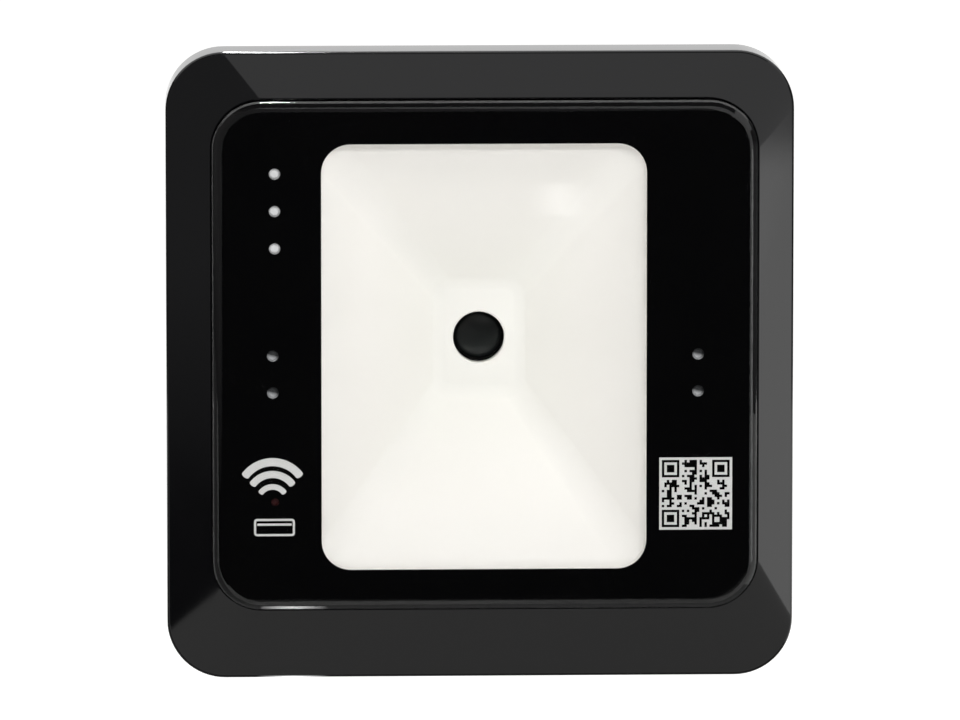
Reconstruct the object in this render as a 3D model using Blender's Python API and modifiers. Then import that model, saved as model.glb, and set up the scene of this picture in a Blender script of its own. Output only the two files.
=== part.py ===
# Wall and panel reader for printed codes and contactless cards, an 86 mm square unit.
# Metres, +Z up, +X to the right, the front faces -Y. Levels are heights in front of the
# panel that the rim seats on: positive towards the user, negative into the panel.
# The origin is the centre of the whole unit's box.
import math

import bmesh
import bpy
from mathutils import Matrix

# Outer body
BODY_WIDTH = 0.0860
BODY_HEIGHT = 0.0865
BODY_CORNER = 0.0080
RIM_DEPTH = 0.0080
FACET_RISE = 0.0040
RIM_WALL = 0.0022
UPPER_WALL = 0.0036
SHOULDER_LEVEL = 0.0040
RIM_EDGE_ROUND = 0.0005
LIP_EDGE_ROUND = 0.0003

# Widths of the four sloped facets, from the body's edge to the glass recess
FACET_LEFT = 0.0061
FACET_RIGHT = 0.0049
FACET_TOP = 0.00625
FACET_BOTTOM = 0.00945

# Cover glass and what lies behind it
GLASS_CORNER = 0.0067
GLASS_THICKNESS = 0.0030
GLASS_BEVEL_WIDTH = 0.0018
GLASS_BEVEL_DEPTH = 0.0018
GLASS_EDGE_ROUND = 0.0006
LEDGE_THICKNESS = 0.0016
LEDGE_WIDTH_X = 0.0031
LEDGE_WIDTH_Z = 0.0039
LEDGE_CORNER = 0.0040
TAPE_WIDTH = 0.0020
TAPE_THICKNESS = 0.0003
MASK_THICKNESS = 0.0004

# Window and white reflector behind it
WINDOW_MARGIN_X = 0.01495
WINDOW_MARGIN_Z = 0.00575
WINDOW_CORNER = 0.0040
WINDOW_SHIFT_X = -0.0001
WINDOW_SHIFT_Z = -0.0002
FUNNEL_LIP = 0.0010
FUNNEL_DEPTH = 0.0190
FLOOR_WIDTH = 0.0119
FLOOR_HEIGHT = 0.0155
FLOOR_CORNER = 0.0010
FUNNEL_WALL = 0.0016
WING_REACH_Z = 0.0021
WING_THICKNESS = 0.0021
WING_CORNER = 0.0070
LENS_HOLE_RADIUS = 0.0035
COLLAR_WALL = 0.0013
COLLAR_LENGTH = 0.0015

# Indicators: across, from the middle of their strip towards the window; down, from the
# top or bottom edge of the glass, or from its middle
STATUS_INSET = 0.000425
STATUS_DROP = 0.0098
STATUS_PITCH = 0.00513
STATUS_COUNT = 3
STATUS_HOLE_RADIUS = 0.00078
SIDE_INSET = 0.000125
SIDE_RISE = 0.0003
SIDE_PITCH = 0.0051
SIDE_HOLE_RADIUS = 0.00080
SENSOR_RISE = 0.0152
SENSOR_HOLE_RADIUS = 0.00055
LED_SIZE = 0.0020
LED_BASE_HEIGHT = 0.0005
LED_LENS_HEIGHT = 0.0004

# Indicator strips and their links to the antenna board
STRIP_THICKNESS = 0.0010
STRIP_MARGIN = 0.0030
STRIP_CORNER = 0.0008
LINK_WIDTH = 0.0022
LINK_HEIGHT = 0.0060
LINK_DROP = 0.0100

# Antenna board, coil and screws
ANTENNA_MARGIN_X = 0.00105
ANTENNA_MARGIN_Z = 0.0051
ANTENNA_CORNER = 0.0050
ANTENNA_THICKNESS = 0.0010
ANTENNA_WINDOW_GAP = 0.0005
COIL_WIRE_RADIUS = 0.00025
COIL_TURNS = 3
COIL_PITCH = 0.0008
COIL_MARGIN_X = 0.0057
COIL_MARGIN_Z = 0.0004
COIL_CORNER = 0.0050
ANTENNA_BOSS_RADIUS = 0.0023
ANTENNA_BOSS_INSET = 0.0009
ANTENNA_BOSS_DROP = 0.0100
ANTENNA_SCREW_RADIUS = 0.0009
ANTENNA_SCREW_LENGTH = 0.0040
ANTENNA_HEAD_RADIUS = 0.0017
ANTENNA_HEAD_HEIGHT = 0.0010

# Rear cover
REAR_DEPTH = 0.0290
COVER_WALL = 0.0020
COVER_MARGIN_X = 0.0100
COVER_MARGIN_Z = 0.01025
COVER_BOX_CORNER = 0.0050
COVER_DRAFT = 0.0005
FLANGE_THICKNESS = 0.0024
SEAL_WIDTH = 0.0010
COVER_BOSS_INSET = 0.0076
COVER_BOSS_RADIUS = 0.0032
COVER_SCREW_RADIUS = 0.0013
COVER_SCREW_LENGTH = 0.0070
COVER_HEAD_RADIUS = 0.0025
COVER_HEAD_HEIGHT = 0.0010
COVER_HEAD_RECESS = 0.0001
INSERT_INSET = 0.0068
INSERT_Z = 0.0100
INSERT_RADIUS = 0.0021
INSERT_BORE = 0.00125
INSERT_LENGTH = 0.0032
INSERT_BOSS_RADIUS = 0.0029
INSERT_BOSS_HEIGHT = 0.0014

# Main board and what it carries
MAIN_LEVEL = -0.0205
MAIN_THICKNESS = 0.0016
MAIN_CLEARANCE = 0.0010
MAIN_CORNER = 0.0030
POST_INSET = 0.0040
POST_RADIUS = 0.0026
BOARD_SCREW_RADIUS = 0.00085
BOARD_SCREW_LENGTH = 0.0050
BOARD_HEAD_RADIUS = 0.0021
BOARD_HEAD_HEIGHT = 0.0012
PACKAGE_CORNER = 0.0002
PACKAGE_SIDE_SHARE = 0.85
PACKAGE_TAPER = 0.2

# Parts on the main board, each with its middle's distance from the two nearest edges
PROCESSOR_SIZE = 0.0120
PROCESSOR_HEIGHT = 0.0012
PROCESSOR_INSET_X = 0.0130
PROCESSOR_INSET_Z = 0.0180
MEMORY_WIDTH = 0.0080
MEMORY_DEPTH = 0.0060
MEMORY_HEIGHT = 0.0010
MEMORY_INSET_X = 0.0120
MEMORY_INSET_Z = 0.0065
SHIELD_WIDTH = 0.0180
SHIELD_DEPTH = 0.0140
SHIELD_HEIGHT = 0.0026
SHIELD_INSET_X = 0.0180
SHIELD_INSET_Z = 0.0150
BUZZER_RADIUS = 0.0060
BUZZER_HEIGHT = 0.0062
BUZZER_HOLE = 0.0011
BUZZER_HOLE_DEPTH = 0.0010
BUZZER_EDGE = 0.0004
BUZZER_INSET_X = 0.0120
BUZZER_INSET_Z = 0.0130
CAPACITOR_RADIUS = 0.0032
CAPACITOR_HEIGHT = 0.0077
CAPACITOR_GROOVE = 0.0016
CAPACITOR_EDGE = 0.0004
CAPACITOR_TOP_EDGE = 0.0005
CAPACITOR_INSET_X = 0.0130
CAPACITOR_INSET_Z = 0.0110

# Camera of the code reader
BARREL_RADIUS = 0.0037
BARREL_HEAD_RADIUS = 0.0044
BARREL_HEAD_HEIGHT = 0.0012
BARREL_LENGTH = 0.0060
BARREL_BORE = 0.0024
LENS_RADIUS = 0.0028
LENS_THICKNESS = 0.0013
LENS_RIM = 0.0005
HOLDER_SIZE = 0.0110
HOLDER_CORNER = 0.0012
HOLDER_TUBE_WALL = 0.0008
HOLDER_BASE_HEIGHT = 0.0038
HOLDER_FLOOR_WALL = 0.0012
SENSOR_CHIP_SIZE = 0.0065
SENSOR_CHIP_HEIGHT = 0.0010

# Sockets
HEADER_WAYS = 6
HEADER_PITCH = 0.0025
HEADER_END_WALL = 0.0020
HEADER_DEPTH_Z = 0.0066
HEADER_WALL = 0.0008
HEADER_FLOOR = 0.0012
HEADER_INSET_Z = 0.0100
PIN_SIZE = 0.00064
PIN_END_GAP = 0.0006
ENTRY_MARGIN = 0.0006
FLEX_GAP = 0.0029
FLEX_DROP = 0.0060
FLEX_WIDTH = 0.0080
FLEX_THICKNESS = 0.0003
FLEX_SWAY = 0.0022
SOCKET_WIDTH = 0.0100
SOCKET_DEPTH = 0.0030
SOCKET_HEIGHT = 0.0016

# Proportions of a screw: its socket's depth, floor and mouth, its crown, and its tip
SOCKET_DEEP = 0.55
SOCKET_FLOOR = 0.42
SOCKET_MOUTH = 0.50
CROWN_WIDTH = 0.88
CROWN_DROP = 0.30
TIP_WIDTH = 0.40

# Proportions of a lamp: its base's corner, its lens, the lens's corner and top
LED_BASE_CORNER = 0.10
LED_LENS_WIDTH = 0.80
LED_LENS_CORNER = 0.50
LED_LENS_TOP = 0.70

# Pieces that touch keep this gap
SEAT_GAP = 0.0003

# Smoothness of round shapes
CORNER_STEPS = 10
COVER_CORNER_STEPS = 6
SMALL_CORNER_STEPS = 3
EDGE_SEGMENTS = 2
DOME_STEPS = 5
FLEX_STEPS = 12
SMOOTH_ANGLE = 28
MERGE_DISTANCE = 0.000005
LARGEST_CORNER = 0.999
ROUND_SEGMENTS = 24
SMALL_ROUND_SEGMENTS = 12

# Levels that follow from the sizes above
LIP_LEVEL = RIM_DEPTH + FACET_RISE
LEDGE_REAR = RIM_DEPTH
LEDGE_LEVEL = LEDGE_REAR + LEDGE_THICKNESS
TAPE_REAR = LEDGE_LEVEL + SEAT_GAP
MASK_REAR = TAPE_REAR + TAPE_THICKNESS + SEAT_GAP
MASK_FRONT = MASK_REAR + MASK_THICKNESS
GLASS_REAR = MASK_FRONT + SEAT_GAP
GLASS_FRONT = GLASS_REAR + GLASS_THICKNESS
FUNNEL_FRONT = MASK_REAR - SEAT_GAP
SLOPE_FRONT = FUNNEL_FRONT - FUNNEL_LIP
FLOOR_LEVEL = SLOPE_FRONT - FUNNEL_DEPTH
FLOOR_REAR = FLOOR_LEVEL - FUNNEL_WALL
WING_FRONT = LEDGE_REAR - SEAT_GAP
WING_REAR = WING_FRONT - WING_THICKNESS
STRIP_REAR = WING_FRONT + SEAT_GAP
STRIP_FRONT = STRIP_REAR + STRIP_THICKNESS
LED_REAR = STRIP_FRONT + SEAT_GAP
ANTENNA_FRONT = WING_REAR - SEAT_GAP
ANTENNA_REAR = ANTENNA_FRONT - ANTENNA_THICKNESS
MAIN_REAR = MAIN_LEVEL - MAIN_THICKNESS
COVER_FLOOR = COVER_WALL - REAR_DEPTH
BARREL_FRONT = FLOOR_REAR - SEAT_GAP
BARREL_HEAD_REAR = BARREL_FRONT - BARREL_HEAD_HEIGHT
HOLDER_FRONT = BARREL_HEAD_REAR - SEAT_GAP
PART_LEVEL = MAIN_LEVEL + SEAT_GAP

# Plan sizes that follow from the sizes above
RECESS = (BODY_WIDTH - FACET_LEFT - FACET_RIGHT, BODY_HEIGHT - FACET_TOP - FACET_BOTTOM)
GLASS = (RECESS[0] - 2 * SEAT_GAP, RECESS[1] - 2 * SEAT_GAP)
LEDGE_OPENING = (RECESS[0] - 2 * LEDGE_WIDTH_X, RECESS[1] - 2 * LEDGE_WIDTH_Z)
RIM_BORE = (BODY_WIDTH - 2 * RIM_WALL, BODY_HEIGHT - 2 * RIM_WALL)
UPPER_BORE = (BODY_WIDTH - 2 * UPPER_WALL, BODY_HEIGHT - 2 * UPPER_WALL)
FLANGE = (RIM_BORE[0] - 2 * SEAT_GAP, RIM_BORE[1] - 2 * SEAT_GAP)
WINDOW = (GLASS[0] - 2 * WINDOW_MARGIN_X, GLASS[1] - 2 * WINDOW_MARGIN_Z)
FUNNEL_RIM = (WINDOW[0] + 2 * FUNNEL_WALL, WINDOW[1] + 2 * FUNNEL_WALL)
WING = (LEDGE_OPENING[0] - 4 * SEAT_GAP, LEDGE_OPENING[1] + 2 * WING_REACH_Z)
ANTENNA = (RECESS[0] + 2 * (ANTENNA_MARGIN_X - SEAT_GAP), GLASS[1] - 2 * ANTENNA_MARGIN_Z)
COIL = (GLASS[0] - 2 * COIL_MARGIN_X, ANTENNA[1] - 2 * (COIL_MARGIN_Z + COIL_WIRE_RADIUS))
COVER_BOX = (BODY_WIDTH - 2 * COVER_MARGIN_X, BODY_HEIGHT - 2 * COVER_MARGIN_Z)
COVER_ROOM = (COVER_BOX[0] - 2 * COVER_WALL, COVER_BOX[1] - 2 * COVER_WALL)
MAIN = (COVER_ROOM[0] - 2 * MAIN_CLEARANCE, COVER_ROOM[1] - 2 * MAIN_CLEARANCE)

# Indicator strips lie between the reflector's rim and the ledge's opening
STRIP_INNER = FUNNEL_RIM[0] / 2 + WINDOW_SHIFT_X + 2 * SEAT_GAP
STRIP_OUTER = LEDGE_OPENING[0] / 2 - SEAT_GAP
STRIP = (STRIP_OUTER - STRIP_INNER, LEDGE_OPENING[1] - 2 * STRIP_MARGIN)
STRIP_MIDDLE = (STRIP_INNER + STRIP_OUTER) / 2

# Plan positions
PANEL_AT = ((FACET_LEFT - FACET_RIGHT) / 2, (FACET_BOTTOM - FACET_TOP) / 2)
WINDOW_AT = (PANEL_AT[0] + WINDOW_SHIFT_X, PANEL_AT[1] + WINDOW_SHIFT_Z)
HEADER_AT = (0.0, HEADER_INSET_Z - MAIN[1] / 2)
FLEX_AT = (
    PANEL_AT[0] + COIL[0] / 2 - COIL_TURNS * COIL_PITCH - FLEX_GAP,
    PANEL_AT[1] - FLEX_DROP,
)
COVER_SCREWS = [
    (x * (BODY_WIDTH / 2 - COVER_BOSS_INSET), z * (BODY_HEIGHT / 2 - COVER_BOSS_INSET))
    for x in (-1, 1)
    for z in (-1, 1)
]
ANTENNA_SCREWS = [
    (
        PANEL_AT[0] + x * (RECESS[0] / 2 - ANTENNA_BOSS_INSET),
        PANEL_AT[1] + z * (ANTENNA[1] / 2 - ANTENNA_BOSS_DROP),
    )
    for x in (-1, 1)
    for z in (-1, 1)
]
POSTS = [
    (x * (MAIN[0] / 2 - POST_INSET), z * (MAIN[1] / 2 - POST_INSET))
    for x in (-1, 1)
    for z in (-1, 1)
]
INSERTS = [
    (x * (BODY_WIDTH / 2 - INSERT_INSET), z * INSERT_Z)
    for x in (-1, 1)
    for z in (-1, 1)
]
STATUS_SPOTS = [
    (
        PANEL_AT[0] - STRIP_MIDDLE + STATUS_INSET,
        PANEL_AT[1] + GLASS[1] / 2 - STATUS_DROP - STATUS_PITCH * i,
    )
    for i in range(STATUS_COUNT)
]
SIDE_SPOTS = [
    (PANEL_AT[0] + x * (STRIP_MIDDLE - SIDE_INSET), PANEL_AT[1] + SIDE_RISE - SIDE_PITCH * i)
    for x in (-1, 1)
    for i in range(2)
]
SENSOR_SPOT = (
    PANEL_AT[0] - STRIP_MIDDLE + STATUS_INSET,
    PANEL_AT[1] - GLASS[1] / 2 + SENSOR_RISE,
)
LINK_SPOTS = [
    (PANEL_AT[0] + x * (STRIP_MIDDLE - SIDE_INSET), PANEL_AT[1] - LINK_DROP)
    for x in (-1, 1)
]

# World y of the panel's surface, which puts the origin in the middle of the unit's depth
SEAT_Y = (GLASS_FRONT - REAR_DEPTH) / 2


def clear_scene():
    for obj in list(bpy.data.objects):
        bpy.data.objects.remove(obj, do_unlink=True)


def new_collection(name):
    collection = bpy.data.collections.new(name)
    bpy.context.scene.collection.children.link(collection)
    return collection


def new_material(name, color, roughness, metallic=0.0):
    material = bpy.data.materials.new(name)
    material.use_nodes = True
    shader = material.node_tree.nodes["Principled BSDF"]
    shader.inputs["Base Color"].default_value = (*color, 1.0)
    shader.inputs["Roughness"].default_value = roughness
    shader.inputs["Metallic"].default_value = metallic
    return material


def outline(size, corner, steps):
    # Points round a rectangle with round corners, anticlockwise from the right side.
    points = []
    corner = min(corner, min(size) / 2 * LARGEST_CORNER)
    for quarter, (sx, sz) in enumerate([(1, 1), (-1, 1), (-1, -1), (1, -1)]):
        for step in range(steps + 1):
            angle = math.pi / 2 * (quarter + step / steps)
            x = sx * (size[0] / 2 - corner) + corner * math.cos(angle)
            z = sz * (size[1] / 2 - corner) + corner * math.sin(angle)
            points.append((x, z))
    return points


def place(obj, at, material):
    # Levels were written as local -Y, so the object stands on the panel's surface.
    obj.location = (at[0], SEAT_Y, at[1])
    if material:
        obj.data.materials.append(material)
    obj.parent = unit
    return obj


def loft(name, rings, at=(0.0, 0.0), material=None, frame=False, steps=SMALL_CORNER_STEPS):
    # A skin through round-cornered rectangles: (size, corner, level, shift, edge round).
    # A frame closes on its first ring; any other loft is capped at both ends.
    bm = bmesh.new()
    weight = bm.edges.layers.float.new("bevel_weight_edge")
    loops = []
    for size, corner, level, shift, _ in rings:
        points = outline(size, corner, steps)
        loops.append([bm.verts.new((x + shift[0], -level, z + shift[1])) for x, z in points])
    pairs = list(zip(loops, loops[1:]))
    if frame:
        pairs.append((loops[-1], loops[0]))
    else:
        bm.faces.new(loops[0])
        bm.faces.new(loops[-1])
    for near, far in pairs:
        for i in range(len(near)):
            j = (i + 1) % len(near)
            bm.faces.new((near[i], near[j], far[j], far[i]))
    bmesh.ops.recalc_face_normals(bm, faces=bm.faces)
    widest = max(ring[4] for ring in rings)
    for loop, ring in zip(loops, rings):
        for i in range(len(loop)):
            edge = bm.edges.get((loop[i], loop[(i + 1) % len(loop)]))
            edge[weight] = ring[4] / widest if widest else 0.0
    obj = mesh_object(name, bm)
    if widest:
        bevel = obj.modifiers.new("edge rounds", "BEVEL")
        bevel.limit_method = "WEIGHT"
        bevel.width = widest
        bevel.segments = EDGE_SEGMENTS
    return place(obj, at, material)


def ring(size, corner, level, shift=(0.0, 0.0), edge=0.0):
    return (size, corner, level, shift, edge)


def mesh_object(name, bm):
    mesh = bpy.data.meshes.new(name)
    bm.to_mesh(mesh)
    bm.free()
    mesh.shade_smooth()
    mesh.set_sharp_from_angle(angle=math.radians(SMOOTH_ANGLE))
    obj = bpy.data.objects.new(name, mesh)
    parts.objects.link(obj)
    return obj


def rods(name, spots, radius, low, high, segments=SMALL_ROUND_SEGMENTS):
    # Round rods along the depth, one at each spot, in one mesh.
    bm = bmesh.new()
    for x, z in spots:
        turn = Matrix.Translation((x, -(low + high) / 2, z)) @ Matrix.Rotation(math.pi / 2, 4, "X")
        bmesh.ops.create_cone(
            bm, cap_ends=True, segments=segments, radius1=radius, radius2=radius,
            depth=high - low, matrix=turn,
        )
    return place(mesh_object(name, bm), (0.0, 0.0), None)


def bars(name, spots, size, low, high):
    # Square-edged bars along the depth, one at each spot, in one mesh.
    bm = bmesh.new()
    for x, z in spots:
        spot = Matrix.Translation((x, -(low + high) / 2, z))
        shape = spot @ Matrix.Diagonal((size[0], high - low, size[1], 1.0))
        bmesh.ops.create_cube(bm, size=1.0, matrix=shape)
    return place(mesh_object(name, bm), (0.0, 0.0), None)


def turned(name, profile, at, material, segments=SMALL_ROUND_SEGMENTS):
    # A closed profile of (radius, level), or one that starts and ends on the axis, turned
    # about the depth axis. It has to run the same way round, so that its faces look out.
    turns = zip(profile, profile[1:] + profile[:1])
    if sum(a[0] * b[1] - b[0] * a[1] for a, b in turns) < 0:
        profile = profile[::-1]
    bm = bmesh.new()
    points = [bm.verts.new((radius, -level, 0.0)) for radius, level in profile]
    open_ended = profile[0][0] == 0.0 and profile[-1][0] == 0.0
    for a, b in zip(points, points[1:] + ([] if open_ended else points[:1])):
        bm.edges.new((a, b))
    obj = mesh_object(name, bm)
    screw = obj.modifiers.new("turn", "SCREW")
    screw.axis = "Y"
    screw.steps = segments
    screw.render_steps = segments
    screw.use_merge_vertices = True
    screw.merge_threshold = MERGE_DISTANCE
    screw.use_smooth_shade = True
    return place(obj, at, material)


def as_tool(obj):
    parts.objects.unlink(obj)
    tools.objects.link(obj)
    obj.hide_render = True
    obj.display_type = "WIRE"
    return obj


def combine(obj, tool, operation):
    modifier = obj.modifiers.new(tool.name, "BOOLEAN")
    modifier.operation = operation
    modifier.solver = "EXACT"
    modifier.object = as_tool(tool)


def cut(obj, tool):
    combine(obj, tool, "DIFFERENCE")


def join(obj, tool):
    combine(obj, tool, "UNION")


def screw_profile(head_radius, head_height, shank_radius, length, seat, way):
    # The head rises from its seat against the way that the shank runs; a socket is in its top.
    top = seat - way * head_height
    return [
        (0.0, top + way * head_height * SOCKET_DEEP),
        (head_radius * SOCKET_FLOOR, top + way * head_height * SOCKET_DEEP),
        (head_radius * SOCKET_MOUTH, top),
        (head_radius * CROWN_WIDTH, top),
        (head_radius, top + way * head_height * CROWN_DROP),
        (head_radius, seat),
        (shank_radius, seat),
        (shank_radius, seat + way * (length - shank_radius)),
        (shank_radius * TIP_WIDTH, seat + way * length),
        (0.0, seat + way * length),
    ]


def front_bezel():
    rings = [
        ring((BODY_WIDTH, BODY_HEIGHT), BODY_CORNER, 0.0, edge=LIP_EDGE_ROUND),
        ring((BODY_WIDTH, BODY_HEIGHT), BODY_CORNER, RIM_DEPTH, edge=RIM_EDGE_ROUND),
        ring(RECESS, GLASS_CORNER + SEAT_GAP, LIP_LEVEL, PANEL_AT, LIP_EDGE_ROUND),
        ring(RECESS, GLASS_CORNER + SEAT_GAP, LEDGE_LEVEL, PANEL_AT),
        ring(LEDGE_OPENING, LEDGE_CORNER, LEDGE_LEVEL, PANEL_AT),
        ring(LEDGE_OPENING, LEDGE_CORNER, LEDGE_REAR, PANEL_AT),
        ring(UPPER_BORE, BODY_CORNER - UPPER_WALL, LEDGE_REAR),
        ring(UPPER_BORE, BODY_CORNER - UPPER_WALL, SHOULDER_LEVEL),
        ring(RIM_BORE, BODY_CORNER - RIM_WALL, SHOULDER_LEVEL),
        ring(RIM_BORE, BODY_CORNER - RIM_WALL, 0.0),
    ]
    bezel = loft("front_bezel", rings, material=black_gloss, frame=True, steps=CORNER_STEPS)
    boss_top = LEDGE_REAR + LEDGE_THICKNESS / 2
    cover_boss_end = FLANGE_THICKNESS + SEAT_GAP
    join(bezel, rods("cover_boss_shape", COVER_SCREWS, COVER_BOSS_RADIUS, cover_boss_end, boss_top))
    join(bezel, rods("antenna_boss_shape", ANTENNA_SCREWS, ANTENNA_BOSS_RADIUS, WING_REAR, boss_top))
    pilot_end = COVER_HEAD_RECESS + COVER_HEAD_HEIGHT + COVER_SCREW_LENGTH + SEAT_GAP
    cut(bezel, rods("cover_pilot", COVER_SCREWS, COVER_SCREW_RADIUS + SEAT_GAP, 0.0, pilot_end))
    antenna_end = ANTENNA_REAR - SEAT_GAP + ANTENNA_SCREW_LENGTH + SEAT_GAP
    cut(bezel, rods("antenna_pilot", ANTENNA_SCREWS, ANTENNA_SCREW_RADIUS + SEAT_GAP,
                    WING_REAR - SEAT_GAP, antenna_end))


def cover_glass():
    flat = (GLASS[0] - 2 * GLASS_BEVEL_WIDTH, GLASS[1] - 2 * GLASS_BEVEL_WIDTH)
    loft(
        "cover_glass",
        [
            ring(GLASS, GLASS_CORNER, GLASS_REAR),
            ring(GLASS, GLASS_CORNER, GLASS_FRONT - GLASS_BEVEL_DEPTH, edge=GLASS_EDGE_ROUND),
            ring(flat, GLASS_CORNER - GLASS_BEVEL_WIDTH, GLASS_FRONT, edge=GLASS_EDGE_ROUND),
        ],
        PANEL_AT, clear_glass, steps=CORNER_STEPS,
    )


def mask_film():
    size = (GLASS[0] - 2 * SEAT_GAP, GLASS[1] - 2 * SEAT_GAP)
    corner = GLASS_CORNER - SEAT_GAP
    shift = (WINDOW_SHIFT_X, WINDOW_SHIFT_Z)
    film = loft(
        "mask_film",
        [
            ring(size, corner, MASK_REAR),
            ring(size, corner, MASK_FRONT),
            ring(WINDOW, WINDOW_CORNER, MASK_FRONT, shift),
            ring(WINDOW, WINDOW_CORNER, MASK_REAR, shift),
        ],
        PANEL_AT, black_film, frame=True, steps=CORNER_STEPS,
    )
    low = MASK_REAR - SEAT_GAP
    high = MASK_FRONT + SEAT_GAP
    cut(film, rods("status_holes", STATUS_SPOTS, STATUS_HOLE_RADIUS, low, high))
    cut(film, rods("side_holes", SIDE_SPOTS, SIDE_HOLE_RADIUS, low, high))
    cut(film, rods("sensor_hole", [SENSOR_SPOT], SENSOR_HOLE_RADIUS, low, high))


def glass_tape():
    outer = (RECESS[0] - 4 * SEAT_GAP, RECESS[1] - 4 * SEAT_GAP)
    inner = (outer[0] - 2 * TAPE_WIDTH, outer[1] - 2 * TAPE_WIDTH)
    corner = GLASS_CORNER - SEAT_GAP
    loft(
        "glass_tape",
        [
            ring(outer, corner, TAPE_REAR),
            ring(outer, corner, TAPE_REAR + TAPE_THICKNESS),
            ring(inner, corner - TAPE_WIDTH, TAPE_REAR + TAPE_THICKNESS),
            ring(inner, corner - TAPE_WIDTH, TAPE_REAR),
        ],
        PANEL_AT, tape_black, frame=True,
    )


def funnel_size(level, grow):
    # Inner size of the reflector at a level; grow is the wall that is added outside it.
    share = (SLOPE_FRONT - level) / FUNNEL_DEPTH
    slope_x = (WINDOW[0] - FLOOR_WIDTH) / 2 / FUNNEL_DEPTH
    slope_z = (WINDOW[1] - FLOOR_HEIGHT) / 2 / FUNNEL_DEPTH
    width = WINDOW[0] + (FLOOR_WIDTH - WINDOW[0]) * share
    height = WINDOW[1] + (FLOOR_HEIGHT - WINDOW[1]) * share
    return (
        width + 2 * grow * math.hypot(1, slope_x),
        height + 2 * grow * math.hypot(1, slope_z),
    )


def reflector():
    funnel = loft(
        "reflector",
        [
            ring((FLOOR_WIDTH, FLOOR_HEIGHT), FLOOR_CORNER, FLOOR_LEVEL),
            ring(WINDOW, WINDOW_CORNER, SLOPE_FRONT),
            ring(WINDOW, WINDOW_CORNER, FUNNEL_FRONT),
            ring(FUNNEL_RIM, WINDOW_CORNER + FUNNEL_WALL, FUNNEL_FRONT),
            ring(FUNNEL_RIM, WINDOW_CORNER + FUNNEL_WALL, WING_FRONT),
            ring(WING, WING_CORNER, WING_FRONT, (-WINDOW_SHIFT_X, -WINDOW_SHIFT_Z)),
            ring(WING, WING_CORNER, WING_REAR, (-WINDOW_SHIFT_X, -WINDOW_SHIFT_Z)),
            ring(funnel_size(WING_REAR, FUNNEL_WALL), WINDOW_CORNER, WING_REAR),
            ring(funnel_size(FLOOR_REAR, FUNNEL_WALL), FLOOR_CORNER + FUNNEL_WALL, FLOOR_REAR),
        ],
        WINDOW_AT, white_plastic, steps=CORNER_STEPS,
    )
    collar_bore = BARREL_HEAD_RADIUS + 2 * SEAT_GAP
    collar_top = (FLOOR_LEVEL + FLOOR_REAR) / 2
    collar = turned(
        "collar_shape",
        [
            (collar_bore, collar_top),
            (collar_bore + COLLAR_WALL, collar_top),
            (collar_bore + COLLAR_WALL, FLOOR_REAR - COLLAR_LENGTH),
            (collar_bore, FLOOR_REAR - COLLAR_LENGTH),
        ],
        WINDOW_AT, None, ROUND_SEGMENTS,
    )
    join(funnel, collar)
    cut(funnel, rods("lens_hole", [WINDOW_AT], LENS_HOLE_RADIUS,
                     FLOOR_REAR - SEAT_GAP, FLOOR_LEVEL + SEAT_GAP, 2 * ROUND_SEGMENTS))
    slot = (LINK_WIDTH + 2 * SEAT_GAP, LINK_HEIGHT + 2 * SEAT_GAP)
    cut(funnel, bars("link_slots", LINK_SPOTS, slot, WING_REAR - SEAT_GAP, WING_FRONT + SEAT_GAP))


def indicators():
    for side, x, link_spot in (("left", -1, LINK_SPOTS[0]), ("right", 1, LINK_SPOTS[1])):
        loft(
            f"{side}_indicator_board",
            [
                ring(STRIP, STRIP_CORNER, STRIP_REAR),
                ring(STRIP, STRIP_CORNER, STRIP_FRONT),
            ],
            (PANEL_AT[0] + x * STRIP_MIDDLE, PANEL_AT[1]), board_green,
        )
        loft(
            f"{side}_board_link",
            [
                ring((LINK_WIDTH, LINK_HEIGHT), FLEX_THICKNESS, ANTENNA_FRONT + SEAT_GAP),
                ring((LINK_WIDTH, LINK_HEIGHT), FLEX_THICKNESS, STRIP_REAR - SEAT_GAP),
            ],
            link_spot, socket_white,
        )
    for i, spot in enumerate(STATUS_SPOTS):
        led(f"status_led_{i + 1}", spot, led_white)
    for i, spot in enumerate(SIDE_SPOTS):
        led(f"side_led_{i + 1}", spot, led_dim)
    led("card_sensor", SENSOR_SPOT, sensor_red)


def led(name, at, material):
    base = (LED_SIZE, LED_SIZE)
    lens = (LED_SIZE * LED_LENS_WIDTH, LED_SIZE * LED_LENS_WIDTH)
    crown = (lens[0] * LED_LENS_TOP, lens[1] * LED_LENS_TOP)
    top = LED_REAR + LED_BASE_HEIGHT
    loft(
        name,
        [
            ring(base, LED_SIZE * LED_BASE_CORNER, LED_REAR),
            ring(base, LED_SIZE * LED_BASE_CORNER, top),
            ring(lens, lens[0] * LED_LENS_CORNER, top),
            ring(lens, lens[0] * LED_LENS_CORNER, top + LED_LENS_HEIGHT / 2),
            ring(crown, crown[0] * LED_LENS_CORNER, top + LED_LENS_HEIGHT),
        ],
        at, material,
    )


def coil_path():
    # A rectangular spiral that steps in by one pitch a turn, corner by corner.
    points = []
    for turn in range(COIL_TURNS):
        for quarter, (sx, sz) in enumerate([(1, 1), (-1, 1), (-1, -1), (1, -1)]):
            inset = COIL_PITCH * (turn + quarter / 4)
            half_x = COIL[0] / 2 - inset
            half_z = COIL[1] / 2 - inset
            for step in range(SMALL_CORNER_STEPS + 1):
                angle = math.pi / 2 * (quarter + step / SMALL_CORNER_STEPS)
                x = sx * (half_x - COIL_CORNER) + COIL_CORNER * math.cos(angle)
                z = sz * (half_z - COIL_CORNER) + COIL_CORNER * math.sin(angle)
                points.append((x, z))
    return points


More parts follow.
